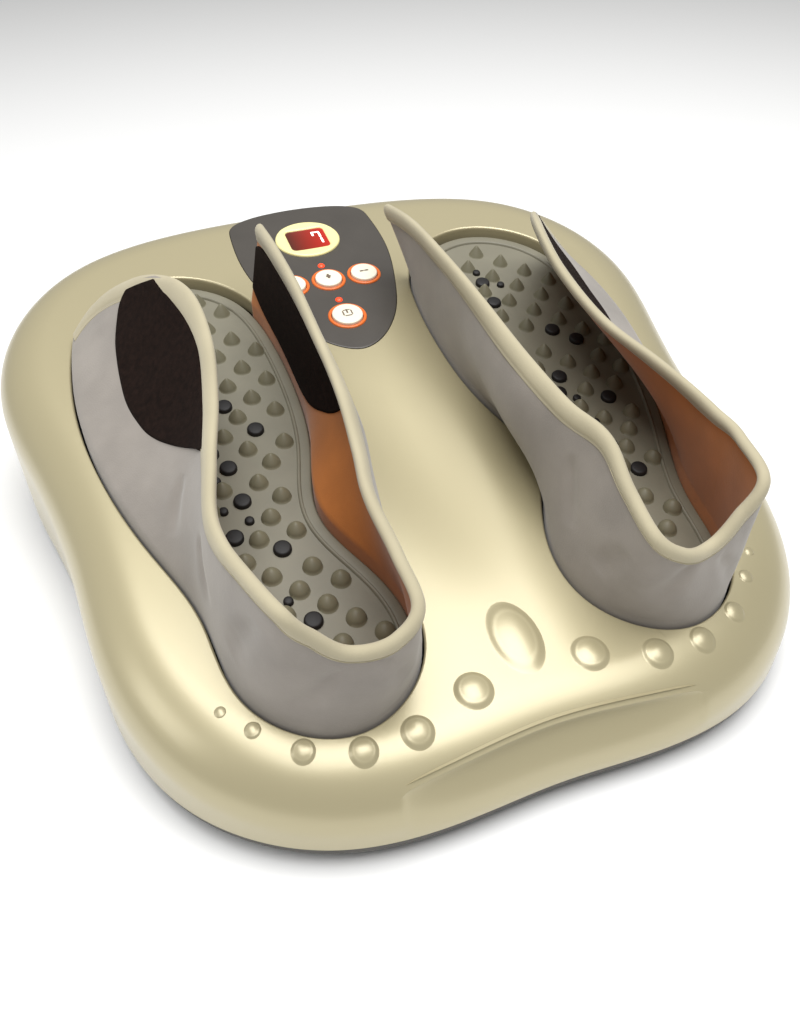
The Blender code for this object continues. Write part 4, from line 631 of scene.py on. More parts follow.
def thicken(piece, thickness):
    """Gives a sheet a wall on its inner side."""
    wall = piece.modifiers.new("Wall", "SOLIDIFY")
    wall.thickness = thickness
    wall.offset = -1
    wall.use_even_offset = True
    apply_modifiers(piece)


def turned_grid(profile, steps, centre=(0.0, 0.0, 0.0), squash_y=1.0):
    """Surface of revolution: a profile of (radius, height) points carried round a vertical axis."""
    profile = np.asarray(profile, float)
    ring = circle(steps)
    grid = np.empty((len(profile), steps, 3))
    grid[..., 0] = profile[:, 0][:, None] * ring[:, 0] + centre[0]
    grid[..., 1] = profile[:, 0][:, None] * ring[:, 1] * squash_y + centre[1]
    grid[..., 2] = profile[:, 1][:, None] + centre[2]
    return grid


def rounded_profile(points, radius, steps=4):
    """A profile whose inner corners are replaced by arcs, each point blended by a quadratic curve."""
    points = np.asarray(points, float)
    made = [points[0]]
    for before, corner, after in zip(points, points[1:], points[2:]):
        back = before - corner
        ahead = after - corner
        reach = min(radius, np.linalg.norm(back) / 2, np.linalg.norm(ahead) / 2)
        start = corner + back / np.linalg.norm(back) * reach
        end = corner + ahead / np.linalg.norm(ahead) * reach
        u = np.linspace(0, 1, steps + 1)[:, None]
        made += list((1 - u) ** 2 * start + 2 * u * (1 - u) * corner + u**2 * end)
    made.append(points[-1])
    return np.array(made)


def new_material(name, colour, roughness, metallic=0.0):
    """A material with a Principled BSDF, and its tree."""
    material = bpy.data.materials.new(name)
    material.use_nodes = True
    shader = material.node_tree.nodes["Principled BSDF"]
    shader.inputs["Base Color"].default_value = (*colour, 1)
    shader.inputs["Roughness"].default_value = roughness
    shader.inputs["Metallic"].default_value = metallic
    return material, material.node_tree, shader


def add_node(tree, kind, settings=None, **links):
    """Adds a node, sets its inputs or attributes, and links sockets to its inputs, named with
    underscores."""
    node = tree.nodes.new(kind)
    for key, value in (settings or {}).items():
        if key in node.inputs:
            node.inputs[key].default_value = value
        else:
            setattr(node, key, value)
    for key, socket in links.items():
        name = key.replace("_", " ")
        found = [entry for entry in node.inputs if entry.name.lower() == name.lower() and entry.enabled]
        tree.links.new(socket, found[0])
    return node


def pattern(tree, kind, size_mm, settings=None):
    """A texture node of this kind on Object coordinates, whose cells are this size."""
    place = add_node(tree, "ShaderNodeTexCoord")
    settings = {"Scale": 1000 / size_mm, **(settings or {})}
    return add_node(tree, f"ShaderNodeTex{kind}", settings, vector=place.outputs["Object"])


def mottle(tree, shader, colour, spread, scale_mm):
    """Base colour that drifts lighter and darker over patches of this size."""
    noise = pattern(tree, "Noise", scale_mm, {"Detail": 4.0})
    ramp = add_node(tree, "ShaderNodeValToRGB", fac=noise.outputs["Fac"])
    low, high = ramp.color_ramp.elements
    low.position, high.position = 0.3, 0.7
    low.color = (*[channel * (1 - spread) for channel in colour], 1)
    high.color = (*[min(1, channel * (1 + spread)) for channel in colour], 1)
    tree.links.new(ramp.outputs["Color"], shader.inputs["Base Color"])


def bump(tree, shader, height, depth_mm, strength=1.0):
    """Bump of a real depth from a height socket."""
    node = add_node(
        tree, "ShaderNodeBump", {"Distance": depth_mm / 1000, "Strength": strength}, height=height
    )
    tree.links.new(node.outputs["Normal"], shader.inputs["Normal"])


def vary_roughness(tree, shader, height, low, high):
    """Roughness that runs between two values with a height socket."""
    shade_node = add_node(tree, "ShaderNodeMapRange", {"To Min": low, "To Max": high}, value=height)
    tree.links.new(shade_node.outputs["Result"], shader.inputs["Roughness"])


def champagne_paint():
    """Metallic lacquer on moulded ABS: a tinted base with fine flakes that gives a soft satin sheen,
    under a clear coat that gives smooth reflections of the lights."""
    colour = bpy.context.scene.massager_colours.paint
    material, tree, shader = new_material("champagne metallic lacquer on moulded ABS", colour, 0.36, 0.34)
    shader.inputs["Coat Weight"].default_value = 0.5
    shader.inputs["Coat Roughness"].default_value = 0.22
    vary_roughness(tree, shader, pattern(tree, "Voronoi", 0.6).outputs["Distance"], 0.32, 0.40)
    peel = pattern(tree, "Noise", 9, {"Detail": 2.0})
    bump(tree, shader, peel.outputs["Fac"], 0.015, 0.3)
    return material


def plain_plastic(name, colour, roughness, grain_mm=0.8, depth_mm=0.02, spread=0.06):
    """Moulded plastic with a spark-eroded grain and a slight drift of its colour."""
    material, tree, shader = new_material(name, colour, roughness)
    mottle(tree, shader, colour, spread, 18)
    grain = pattern(tree, "Noise", grain_mm, {"Detail": 2.0})
    bump(tree, shader, grain.outputs["Fac"], depth_mm, 0.5)
    return material


def bare_metal(name, colour, roughness, metallic=1.0):
    """Drawn or plated metal with fine streaks in its roughness."""
    material, tree, shader = new_material(name, colour, roughness, metallic)
    streaks = pattern(tree, "Noise", 3, {"Detail": 3.0})
    vary_roughness(tree, shader, streaks.outputs["Fac"], roughness * 0.8, roughness * 1.3)
    return material


def woven_cloth(name, colour, thread_mm, depth_mm, spread=0.1, sheen=0.3):
    """Woven polyester: an irregular thread relief of this spacing, a little fuzz and a slow drift of the
    dye."""
    material, tree, shader = new_material(name, colour, 0.88)
    shader.inputs["Sheen Weight"].default_value = sheen
    shader.inputs["Sheen Roughness"].default_value = 0.5
    mottle(tree, shader, colour, spread, 26)
    threads = pattern(tree, "Voronoi", thread_mm, {"Randomness": 0.75})
    slubs = pattern(tree, "Noise", 4 * thread_mm, {"Detail": 3.0})
    both = add_node(tree, "ShaderNodeMath", {"operation": "ADD"})
    tree.links.new(threads.outputs["Distance"], both.inputs[0])
    tree.links.new(slubs.outputs["Fac"], both.inputs[1])
    bump(tree, shader, both.outputs["Value"], depth_mm, 0.5)
    return material


def pile_cloth(name, colour):
    """Hook-and-loop pile: a dense dark nap of fine loops that swallows the light."""
    material, tree, shader = new_material(name, colour, 1.0)
    shader.inputs["Specular IOR Level"].default_value = 0.12
    mottle(tree, shader, colour, 0.35, 3)
    nap = pattern(tree, "Noise", 0.9, {"Detail": 6.0, "Roughness": 0.7})
    bump(tree, shader, nap.outputs["Fac"], 0.5, 0.8)
    return material


def glowing(name, colour, strength):
    """Diffusing plastic lit from behind, under a smooth surface."""
    material, _, shader = new_material(name, colour, 0.3)
    shader.inputs["Emission Color"].default_value = (*colour, 1)
    shader.inputs["Emission Strength"].default_value = strength
    return material


def smoked_window():
    """Smoked red acrylic over a lit display: dark brown at its left, a bright red glow behind the digit
    at its right, and a glossy face."""
    material, tree, shader = new_material("smoked red acrylic window", linear("3A1610"), 0.12)
    place = add_node(tree, "ShaderNodeTexCoord")
    axes = add_node(tree, "ShaderNodeSeparateXYZ", vector=place.outputs["Object"])
    limits = {"From Min": -GLOW_REACH, "From Max": GLOW_REACH}
    glow = add_node(tree, "ShaderNodeMapRange", limits, value=axes.outputs["X"])
    ramp = add_node(tree, "ShaderNodeValToRGB", fac=glow.outputs["Result"])
    low, high = ramp.color_ramp.elements
    low.color = (*linear("5A2A1C"), 1)
    high.color = (*linear("F02A16"), 1)
    tree.links.new(ramp.outputs["Color"], shader.inputs["Emission Color"])
    shader.inputs["Emission Strength"].default_value = 0.75
    return material


def scoop_fade(x):
    """Share of the scoop's full size at x: sqrt(1 - (x / half width)^2)."""
    return np.sqrt(np.clip(1 - (x / SCOOP_HALF_WIDTH) ** 2, 0, 1))


def cover_grid(columns, wall_rows, scoop_rows, shoulder_rows, deck_rows):
    """Outer skin of the top cover. Each column runs up the wall, round the elliptical shoulder and in to
    the middle of the deck: inset = R (1 - cos t), height = deck - drop (1 - sin t). One row follows the
    scoop's upper edge. The columns crowd at the front, where the scoop is."""
    case = bpy.context.scene.massager_case
    t = np.arange(columns) / columns
    outline = case_outline(t - FRONT_CROWDING * np.sin(2 * math.pi * t) / (2 * math.pi))
    outward = outward_of(outline)
    x = outline[:, 0]
    front = outline[:, 1] < 0
    edge = np.radians(SCOOP_END_TURN + SCOOP_CROWN_TURN * scoop_fade(x) * front)
    rows = []
    wall_top = deck_height(outline[:, 1]) - case.shoulder_drop
    for share in np.linspace(0, 1, wall_rows, endpoint=False):
        rows.append(np.column_stack([outline, case.split_height + (wall_top - case.split_height) * share]))
    clustered = 1 - (1 - np.linspace(0, 1, scoop_rows, endpoint=False)) ** 2
    turns = [edge * share for share in clustered]
    turns += [edge + (math.pi / 2 - edge) * share for share in np.linspace(0, 1, shoulder_rows)]
    for turn in turns:
        inset = case.shoulder_inset * (1 - np.cos(turn))
        place = outline - outward * inset[:, None]
        height = deck_height(place[:, 1]) - case.shoulder_drop * (1 - np.sin(turn))
        rows.append(np.column_stack([place, height]))
    rim = rows[-1][:, :2]
    for share in np.linspace(1, 0, deck_rows + 1)[1:]:
        place = rim * share
        rows.append(np.column_stack([place, deck_height(place[:, 1])]))
    grid = np.array(rows)
    edge_row = wall_rows + scoop_rows
    press_scoop(grid, edge_row, front)
    across = np.clip(np.abs(grid[..., 0]) / HOLLOW_HALF_WIDTH, 0, 1)
    length = np.clip(np.abs(grid[..., 1] - HOLLOW_MIDDLE) / HOLLOW_HALF_LENGTH, 0, 1)
    grid[..., 2] -= case.hollow_depth * (1 - across**2) ** 2 * (1 - length**2) ** 2
    return grid


def press_scoop(grid, edge_row, front):
    """Presses the scoop into the rows under its edge: depth = D u^0.5 (1 - u)^1.6, with u from the edge
    down."""
    top = grid[edge_row, :, 2]
    u = np.clip((top - grid[:edge_row, :, 2]) / (top - SCOOP_BOTTOM), 0, 1)
    grid[:edge_row, :, 1] += SCOOP_DEPTH * np.sqrt(u) * (1 - u) ** 1.6 * scoop_fade(grid[0, :, 0]) * front


def well_cutter(side, steps):
    """Closed cutter of a foot well, whose top flares by R (1 - cos t), so that the cut leaves a rounded
    edge."""
    edge = bpy.context.scene.massager_case.well_edge
    at = np.arange(steps) / steps
    turns = np.radians(np.linspace(0, WELL_EDGE_TURN, 7))
    profile = [(WELL_GAP, -WELL_CUT_DEPTH)]
    profile += [(WELL_GAP + edge * (1 - math.cos(turn)), -edge * (1 - math.sin(turn))) for turn in turns]
    profile += [(WELL_GAP + edge * 2, edge)]
    grid = along_foot(at, profile)
    return make_mesh("well cutter", on_side(side, [closed_round(grid, "low", "high")]))


class MASSAGER_OT_case(bpy.types.Operator):
    """Builds the glossy top cover with its wells, scoop, hollow and pocket, and the collars of the wells"""

    bl_idname = "massager.case"
    bl_label = "Case"

    def execute(self, context):
        case = context.scene.massager_case
        grid = cover_grid(columns=440, wall_rows=6, scoop_rows=16, shoulder_rows=14, deck_rows=26)
        cover = make_mesh("case_cover", [closed_round(grid)])
        thicken(cover, case.wall)
        for side, _ in SIDES:
            cut(cover, well_cutter(side, FOOT_STEPS))
        pocket = panel_loop(120, POCKET_GAP)
        rows = np.array([level(pocket, height) for height in (POCKET_LOW, POCKET_HIGH)])
        cut(cover, make_mesh("pocket cutter", [closed_round(on_panel(rows), "low", "high")]))
        rim = rounded_rectangle(INLET_WIDTH, INLET_HEIGHT, INLET_CORNER, 3)
        ends = (case.depth / 2 + INLET_CUT, case.depth / 2 - INLET_CUT)
        slot = np.array([np.insert(rim + (0, INLET_MIDDLE), 1, y, axis=1) for y in ends])
        cut(cover, make_mesh("inlet cutter", [closed_round(slot, "low", "high")]))
        shade(cover, 20)
        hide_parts("top_cover")
        dress(cover, "base", "champagne_paint", materials["paint"])
        section = (
            (COLLAR_INNER, -COLLAR_TOP), (COLLAR_INNER, -COLLAR_BOTTOM),
            (COLLAR_OUTER, -COLLAR_BOTTOM), (COLLAR_OUTER, -COLLAR_TOP),
        )
        grid = along_foot(np.arange(FOOT_STEPS) / FOOT_STEPS, section)
        collars = [patch for side, _ in SIDES for patch in on_side(side, [hoop(grid)])]
        dress(make_mesh("well_collars", collars), "base", "champagne_paint", materials["paint"])
        return {"FINISHED"}


class MASSAGER_OT_domes(bpy.types.Operator):
    """Builds the oval dome and the six pairs of round domes: height = H (1 - c r^2) inside a soft crease,
    which falls to the deck outside it"""

    bl_idname = "massager.domes"
    bl_label = "Relief domes"

    def execute(self, context):
        case = context.scene.massager_case
        patches = []
        reach = np.linspace(DOME_FOOT, 0, 22)
        crown = 1 - (1 - DOME_CREASE_HEIGHT) * (reach / DOME_CREASE) ** 2
        flare = DOME_CREASE_HEIGHT * smooth_step((DOME_FOOT - reach) / (DOME_FOOT - DOME_CREASE))
        swell = np.where(reach < DOME_CREASE, crown, flare)
        shapes = [(0, *OVAL_DOME)]
        for place, diameter in zip(DOME_PLACES_SHARES, DOME_DIAMETERS):
            x, y = case_place(*place)
            half = diameter * DOME_REACH_SHARE
            shapes += [(side * x, y, half, half, diameter * DOME_HEIGHT_SHARE) for side, _ in SIDES]
        outline = case_outline(np.linspace(0, 1, 900, endpoint=False))
        ring = circle(40)
        for x, y, half_width, half_length, height in shapes:
            grid = np.empty((len(reach), len(ring), 3))
            grid[..., 0] = x + reach[:, None] * ring[:, 0] * half_width
            grid[..., 1] = y + reach[:, None] * ring[:, 1] * half_length
            distance = np.min(
                np.hypot(grid[..., 0, None] - outline[:, 0], grid[..., 1, None] - outline[:, 1]), axis=-1
            )
            inset = np.clip(1 - distance / case.shoulder_inset, 0, 1)
            drop = case.shoulder_drop * (1 - np.sqrt(1 - inset**2))
            grid[..., 2] = deck_height(grid[..., 1]) - drop + height * swell[:, None] - DOME_SINK
            skirt = grid[:1] - (0, 0, DOME_SKIRT)
            patches.append(closed_round(np.concatenate([skirt, grid]), "low"))
        domes = make_mesh("relief_domes", patches, sharp_angle=60)
        dress(domes, "base", "champagne_paint", materials["paint"])
        return {"FINISHED"}


class MASSAGER_OT_tray(bpy.types.Operator):
    """Builds the rounded tray with its vents and screw holes, and the rubber feet"""

    bl_idname = "massager.tray"
    bl_label = "Tray"

    def execute(self, context):
        case = context.scene.massager_case
        outline = case_outline(np.arange(300) / 300)
        low, high = TRAY_BOTTOM, case.split_height - TRAY_GAP
        rows = [level(outline * share, low) for share in (0, 0.3, 0.6, 0.85)]
        for turn in np.radians(np.linspace(0, 90, 9)):
            loop = offset_loop(outline, -TRAY_INSET - TRAY_ROUND * (1 - math.sin(turn)))
            rows.append(level(loop, low + (high - low) * (1 - math.cos(turn))))
        rows.append(level(offset_loop(outline, -TRAY_INSET - case.wall), high))
        rows.append(level(offset_loop(outline, -TRAY_FLOOR_INSET), low + case.wall))
        rows.append(level(outline * 0, low + case.wall))
        tray = make_mesh("case_tray", [closed_round(np.array(rows))])
        slots = [
            (rounded_rectangle(VENT_LENGTH, VENT_WIDTH, VENT_CORNER, 4) + (0, VENT_PITCH * i),
             foot_place(*VENT_MIDDLE_SHARES), VENT_CUT)
            for i in np.arange(5) - 2.5
        ]
        hole = circle(32, SCREW_HOLE_RADIUS)
        holes = [(hole, case_place(*place), SCREW_HOLE_CUT) for place in SCREW_PLACES_SHARES]
        cutters = []
        for loop, (x, y), top in slots + holes:
            for side, _ in SIDES:
                placed = loop + (side * x, y)
                ends = np.array([level(placed, 0), level(placed, top)])
                cutters.append(closed_round(ends, "low", "high"))
        cut(tray, make_mesh("tray cutter", cutters))
        shade(tray, 30)
        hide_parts("bottom_cover")
        dress(tray, "base", "grey_tray_plastic", materials["tray"])
        corners = [(0, 0), (PAD_BOTTOM_RADIUS, 0), (PAD_TOP_RADIUS, PAD_HEIGHT), (0, PAD_HEIGHT)]
        profile = rounded_profile(corners, PAD_EDGE)
        for name, place in zip(("heel", "toe"), FOOT_PAD_PLACES_SHARES):
            x, y = case_place(*place)
            for side, prefix in SIDES:
                grid = turned_grid(profile, 48, (side * x, y, 0))
                pad = make_mesh(f"{prefix}_{name}_pad", [closed_round(grid)])
                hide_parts(f"{prefix}_{name}_rubber_foot")
                dress(pad, "base", "rubber", materials["rubber"])
        return {"FINISHED"}


def sleeve_curves(share):
    """Base, fold and edge points of the right sleeve at shares of the way round the foot."""
    sleeve = bpy.context.scene.massager_sleeve
    base_xy = foot_loop(share, SLEEVE_GAP)
    base = np.column_stack([base_xy, deck_height(base_xy[:, 1]) + SLEEVE_BASE])
    table = np.array(SLEEVE_EDGE_SHARES)
    edge = smooth_through(table[:, 0], table[:, 1:], share)
    edge_x, edge_y = foot_place(edge[:, 0], edge[:, 1])
    top = np.column_stack([edge_x, edge_y, deck_height(edge_y) + sleeve.height * edge[:, 2]])
    rise = (sleeve.fold_height - SLEEVE_BASE) / (sleeve.height * edge[:, 2] - SLEEVE_BASE)
    return base, base + (top - base) * rise[:, None], top


def fold_line(kind):
    """Ends of the right sleeve's straight fold on one side: at its seam with the heel cup and at its
    front."""
    x, y = foot_place(*FOLD_FRONT_SHARES[kind])
    rear = sleeve_curves(np.array([SIDE_ENDS[kind][0]]))[1][0]
    return rear, np.array([x, y, deck_height(y) + bpy.context.scene.massager_sleeve.fold_height])


def sleeve_surface(share, row):
    """Inner face of the right sleeve at shares and rows of one shape. Each column is the quadratic
    through its base at row 0, its fold and its edge at row 1, and the rows under 0 run straight down into
    the well."""
    share, row = np.broadcast_arrays(np.asarray(share, float), np.asarray(row, float))
    shape = share.shape
    share, row = share.ravel(), row.ravel()
    base, fold, top = sleeve_curves(share)
    for kind, (seam, front) in SIDE_ENDS.items():
        done = (share - seam) / (front - seam)
        rear, tip = fold_line(kind)
        fold = np.where((done >= 0)[:, None], rear + (tip - rear) * done[:, None], fold)
    u = np.maximum(row, 0)[:, None]
    middle = FOLD_ROW_SHARE
    points = (
        base * (u - middle) * (u - 1) / middle
        + fold * u * (u - 1) / (middle * (middle - 1))
        + top * u * (u - middle) / (1 - middle)
    )
    points[:, 2] += np.minimum(row, 0) * HEM_ROW_HEIGHT
    return points.reshape(*shape, 3)


def sleeve_slopes(share, row):
    """Changes of the sleeve's surface with the share and with the row, and its outward unit normal."""
    step = SLOPE_STEP
    across = (sleeve_surface(share + step, row) - sleeve_surface(share - step, row)) / (2 * step)
    up = (sleeve_surface(share, row + step) - sleeve_surface(share, row - step)) / (2 * step)
    return across, up, unit(np.cross(across, up))


def crease_depth(share, row):
    """Soft creases of the cloth as shares of their full depth: across each line this runs as
    (1 - 0.6 q^2) exp(-q^2), with q in half widths, and it fades towards both ends."""
    depth = np.zeros(np.shape(share))
    for start_share, start_row, end_share, end_row in CREASE_SHARES:
        start = np.array([start_share * ROUND_LENGTH, start_row * ROW_LENGTH])
        along = np.array([end_share * ROUND_LENGTH, end_row * ROW_LENGTH]) - start
        x = share * ROUND_LENGTH - start[0]
        y = row * ROW_LENGTH - start[1]
        done = (x * along[0] + y * along[1]) / (along @ along)
        away = (x * along[1] - y * along[0]) / np.linalg.norm(along)
        q = away / (CREASE_HALF_WIDTH + CREASE_SPREAD * np.clip(done, 0, 1))
        fade = np.clip(done * 4, 0, 1) * np.clip((1 - done) * 3, 0, 1)
        depth += (1 - 0.6 * q**2) * np.exp(-q**2) * fade**0.7
    return depth


def wall_faces(share, row, round_ends):
    """Inner and outer face of a padded wall. The padding swells half way up the wall, fades out near both
    fronts and rolls in slow waves, and the creases are pressed into the outer face. Both faces meet where
    round_ends is 0."""
    sleeve = bpy.context.scene.massager_sleeve
    inner = sleeve_surface(share, row)
    _, _, normal = sleeve_slopes(share, row)
    full = np.sin(math.pi * np.clip(row, 0, 1)) ** PADDING_POWER
    full *= np.clip((LATERAL_FRONT - share) / PADDING_FADE, 0, 1)
    full *= np.clip((share - MEDIAL_FRONT) / PADDING_FADE, 0, 1)
    wave = WAVE_SHARE * np.sin(share * WAVE_ALONG + row * WAVE_UP)
    wave = wave * np.sin(share * CROSS_WAVE_ALONG - row * CROSS_WAVE_UP + 1)
    outwards = sleeve.fabric - FABRIC_SINK + sleeve.padding * full * (PADDING_SHARE + wave)
    outwards -= CREASE_DEPTH * crease_depth(share, row) * np.clip(row * 4, 0, 1)
    inwards = -FABRIC_SINK - LINING_SHARE * sleeve.padding * full
    middle = (outwards + inwards) / 2
    outer = inner + normal * (middle + (outwards - middle) * round_ends)[..., None]
    inner = inner + normal * (middle + (inwards - middle) * round_ends)[..., None]
    return inner, outer


def wall_mesh(name, side, share, row, round_ends):
    """A closed padded wall, whose lining is numbered 1."""
    inner, outer = wall_faces(share, row, round_ends)
    wall = make_mesh(name, on_side(side, padded_band(outer, inner, 1)), sharp_angle=70)
    for material in (materials["fabric"], materials["lining"]):
        wall.data.materials.append(material)
    return wall


def edge_round(share, reach):
    """Quarter round that grows from 0 to 1 over this reach behind the medial front."""
    return np.sqrt(1 - (1 - np.clip((share - MEDIAL_FRONT) / reach, 0, 1)) ** 2)


def corner_turn(share):
    """Share of the way round the lateral front corner, from 0 at its start to 1 at the front."""
    return np.clip(1 - np.sqrt(np.clip(LATERAL_FRONT - share, 0, CORNER_REACH) / CORNER_REACH), 0, 1)


def top_row(share, gap):
    """Row that lies this far under the sleeve's upper edge, by the wall's slope just under it."""
    _, up, _ = sleeve_slopes(share, np.full(np.shape(share), 0.99))
    return 1 - gap / np.linalg.norm(up, axis=-1)


def bound_edge():
    """Shares and rows along the whole bound edge of the right sleeve, evenly spaced: from the medial
    front along the top, round the heel and the lateral front corner, and down to the deck."""
    corner = np.linspace(0, 1, 60)
    share = np.concatenate([
        np.linspace(MEDIAL_FRONT, LATERAL_FRONT - CORNER_REACH, 1500),
        LATERAL_FRONT - CORNER_REACH * (1 - corner) ** 2,
        np.full(300, LATERAL_FRONT),
    ])
    row = np.concatenate([
        np.ones(1500), 1 - CORNER_DROP * corner**2, np.linspace(1 - CORNER_DROP, BINDING_END_ROW, 300),
    ])
    gone = path_lengths(sleeve_surface(share, row))
    even = np.linspace(0, gone[-1], int(gone[-1] / BINDING_STEP))
    return np.interp(even, gone, share), np.interp(even, gone, row)


def walk_inwards(share, row, inward, step, count):
    """Shares and rows met on the way down the wall from its edge, in equal steps of length along the
    surface. Each step solves the two by two system of the surface's slopes: e = a.a, f = a.u and g =
    u.u."""
    places = [(share, row)]
    for _ in range(count):
        across, up, normal = sleeve_slopes(share, row)
        way = unit(inward - normal * (inward * normal).sum(1)[:, None])
        e, f, g = (across * across).sum(1), (across * up).sum(1), (up * up).sum(1)
        a, b = (across * way).sum(1), (up * way).sum(1)
        share = share + step * (g * a - f * b) / (e * g - f * f)
        row = row + step * (e * b - f * a) / (e * g - f * f)
        places.append((share, row))
    return np.array(places)


def smoothed(values, times):
    """Values along a path, each averaged with its neighbours."""
    for _ in range(times):
        padded = np.pad(values, ((1, 1), (0, 0)), mode="edge")
        values = (padded[:-2] + 2 * padded[1:-1] + padded[2:]) / 4
    return values


def corner_bump(share):
    """Rises smoothly from 0 to 1 near the lateral front corner of the sleeve."""
    return smooth_step(1 - np.abs(share - BUMP_SHARE) / BUMP_REACH)


def binding_width(share):
    """Reach of the binding down the wall, narrower round the heel and broader at the lateral front
    corner."""
    sleeve = bpy.context.scene.massager_sleeve
    heel = smooth_step(BINDING_HEEL_FLAT * (1 - np.abs(share - HEEL_SHARE) / BINDING_HEEL_REACH))
    narrower = (sleeve.binding_heel_width - sleeve.binding_width) * heel
    return sleeve.binding_width + narrower + BINDING_CORNER * corner_bump(share)


def binding_grid(share, row, taper):
    """The binding carried along its edge: each point of its section lies some way down the wall, at right
    angles to the edge, and some way off its face. At a round end the section shrinks about its middle."""
    direction = smoothed(np.gradient(sleeve_surface(share, row), axis=0), 10)
    _, _, normal = sleeve_slopes(share, row)
    inward = unit(np.cross(direction, normal))
    reach, offset = np.array(BINDING_SECTION).T
    reach = 0.5 + (reach - 0.5) * taper[:, None]
    offset = offset * bpy.context.scene.massager_sleeve.binding_thickness * taper[:, None]
    count = 12
    places = walk_inwards(share, row, inward, binding_width(share) / count, count)
    at = np.clip(reach * count, 0, count)
    low = np.minimum(at.astype(int), count - 1)
    part = at - low
    station = np.arange(len(share))[:, None]
    place = places[low, :, station] * (1 - part)[..., None] + places[low + 1, :, station] * part[..., None]
    point = sleeve_surface(place[..., 0], place[..., 1])
    _, _, lift = sleeve_slopes(place[..., 0], place[..., 1])
    return point + lift * offset[..., None]


def arc(middle, half_width, half_height, start, end, steps):
    """Points (x + a sin t, y - b cos t) of an elliptical arc between two turns in degrees."""
    turns = np.radians(np.linspace(start, end, steps))
    return [(middle[0] + half_width * math.sin(t), middle[1] - half_height * math.cos(t)) for t in turns]


class MASSAGER_OT_foot_plates(bpy.types.Operator):
    """Builds both foot plates with their rims, raised beads and nubs, and the black magnets set in them"""

    bl_idname = "massager.foot_plates"
    bl_label = "Foot plates"

    def execute(self, context):
        # Inset from the outline and drop under the deck: skirt, rounded rim, raised bead and floor
        profile = [(0, PLATE_SKIRT), (0, RIM_DROP + RIM_ROUND[1])]
        profile += arc((RIM_ROUND[0], RIM_DROP + RIM_ROUND[1]), *RIM_ROUND, -80, 0, 6)
        profile += [BEAD_FOOT]
        outer_rise, inner_rise = BEAD_OUTER_FOOT - BEAD_DROP, FLOOR_DROP - BEAD_DROP
        profile += arc((BEAD_INSET, BEAD_OUTER_FOOT), BEAD_OUTER_WIDTH, outer_rise, -90, 0, 4)
        profile += arc((BEAD_INSET, FLOOR_DROP), BEAD_INNER_WIDTH, inner_rise, 30, 90, 3)
        profile += [FLOOR_START]
        grid = along_foot(np.arange(FOOT_STEPS) / FOOT_STEPS, -np.array(profile))
        for side, prefix in SIDES:
            for name, patches, sharp_angle, material in (
                ("plate", [closed_round(grid, "high")], 50, "plate"),
                ("nubs", nub_patches(), 70, "nub"),
                ("magnets", magnet_patches(), 60, "magnet"),
            ):
                piece = make_mesh(f"{prefix}_{name}", on_side(side, patches), sharp_angle)
                if name == "plate":
                    thicken(piece, context.scene.massager_case.wall)
                    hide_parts(f"{prefix}_foot_plate")
                dress(piece, f"{prefix}_plate_group", "olive_plate_plastic", materials[material])
        return {"FINISHED"}


def is_inside(outline, x, y):
    """Whether points lie inside a closed outline."""
    after = np.roll(outline, -1, axis=0)
    crossed = (outline[:, 1] > y[:, None]) != (after[:, 1] > y[:, None])
    climb = np.where(crossed, after[:, 1] - outline[:, 1], 1)
    reach = outline[:, 0] + (y[:, None] - outline[:, 1]) * (after[:, 0] - outline[:, 0]) / climb
    return (crossed & (x[:, None] < reach)).sum(axis=1) % 2 == 1


def nub_places():
    """Places of the nubs of the right foot, in staggered rows that spread with the foot's width, clear of
    the rim and of the magnets."""
    foot = bpy.context.scene.massager_foot
    rows, share, stagger = [], NUB_FIRST_ROW, 0.5
    while share < 1:
        rows.append((share, stagger))
        share += NUB_ROW_PITCH + NUB_ROW_SPREAD * share
        stagger = 0.5 - stagger
    share, stagger = np.array(rows).T
    pitch = np.interp(share, *np.transpose(NUB_PITCH_SHARES))
    columns = np.arange(-4, 5)
    across = NUB_MIDDLE + (columns + stagger[:, None]) * pitch[:, None]
    x, y = foot_place(across.ravel(), np.repeat(share, len(columns)))
    outline = foot_loop(np.arange(FOOT_STEPS) / FOOT_STEPS)
    rim = np.hypot(outline[:, 0] - x[:, None], outline[:, 1] - y[:, None]).min(axis=1)
    magnets = np.array([foot_place(*share) for share in MAGNET_PLACES_SHARES])
    near = np.hypot(magnets[:, 0] - x[:, None], magnets[:, 1] - y[:, None]).min(axis=1)
    keep = is_inside(outline, x, y) & (rim > NUB_RIM_GAP) & (near > foot.nub_radius + NUB_MAGNET_GAP)
    return x[keep], y[keep]


def nub_patches():
    """Nubs as turned bumps on the floor: pointed cones under the toes that become round studs under the
    heel. The height over the radius is a mix of a cone, 1 - r with a blunt tip, and a ball, sqrt(1 -
    r^2), by the share along the foot."""
    foot = bpy.context.scene.massager_foot
    reach = np.array([1.12, 1, 0.9, 0.78, 0.65, 0.5, 0.36, 0.24, 0.14, 0.06, 0])
    patches = []
    for x, y in zip(*nub_places()):
        share = np.clip((y - foot.along) / foot.length + 0.5, 0, 1) ** 0.8
        height = foot.nub_heel_height + (foot.nub_toe_height - foot.nub_heel_height) * share
        inside = np.minimum(reach, 1)
        cone = 1 - np.sqrt(inside**2 + 0.02) / math.sqrt(1.02)
        swell = cone * share + np.sqrt(1 - inside**2) * (1 - share)
        profile = np.column_stack([foot.nub_radius * reach, height * swell - NUB_SINK])
        grid = turned_grid(profile, 24, (x, y, 0))
        grid[..., 2] += deck_height(grid[..., 1]) - FLOOR_DROP
        patches.append(closed_round(grid, "low"))
    return patches


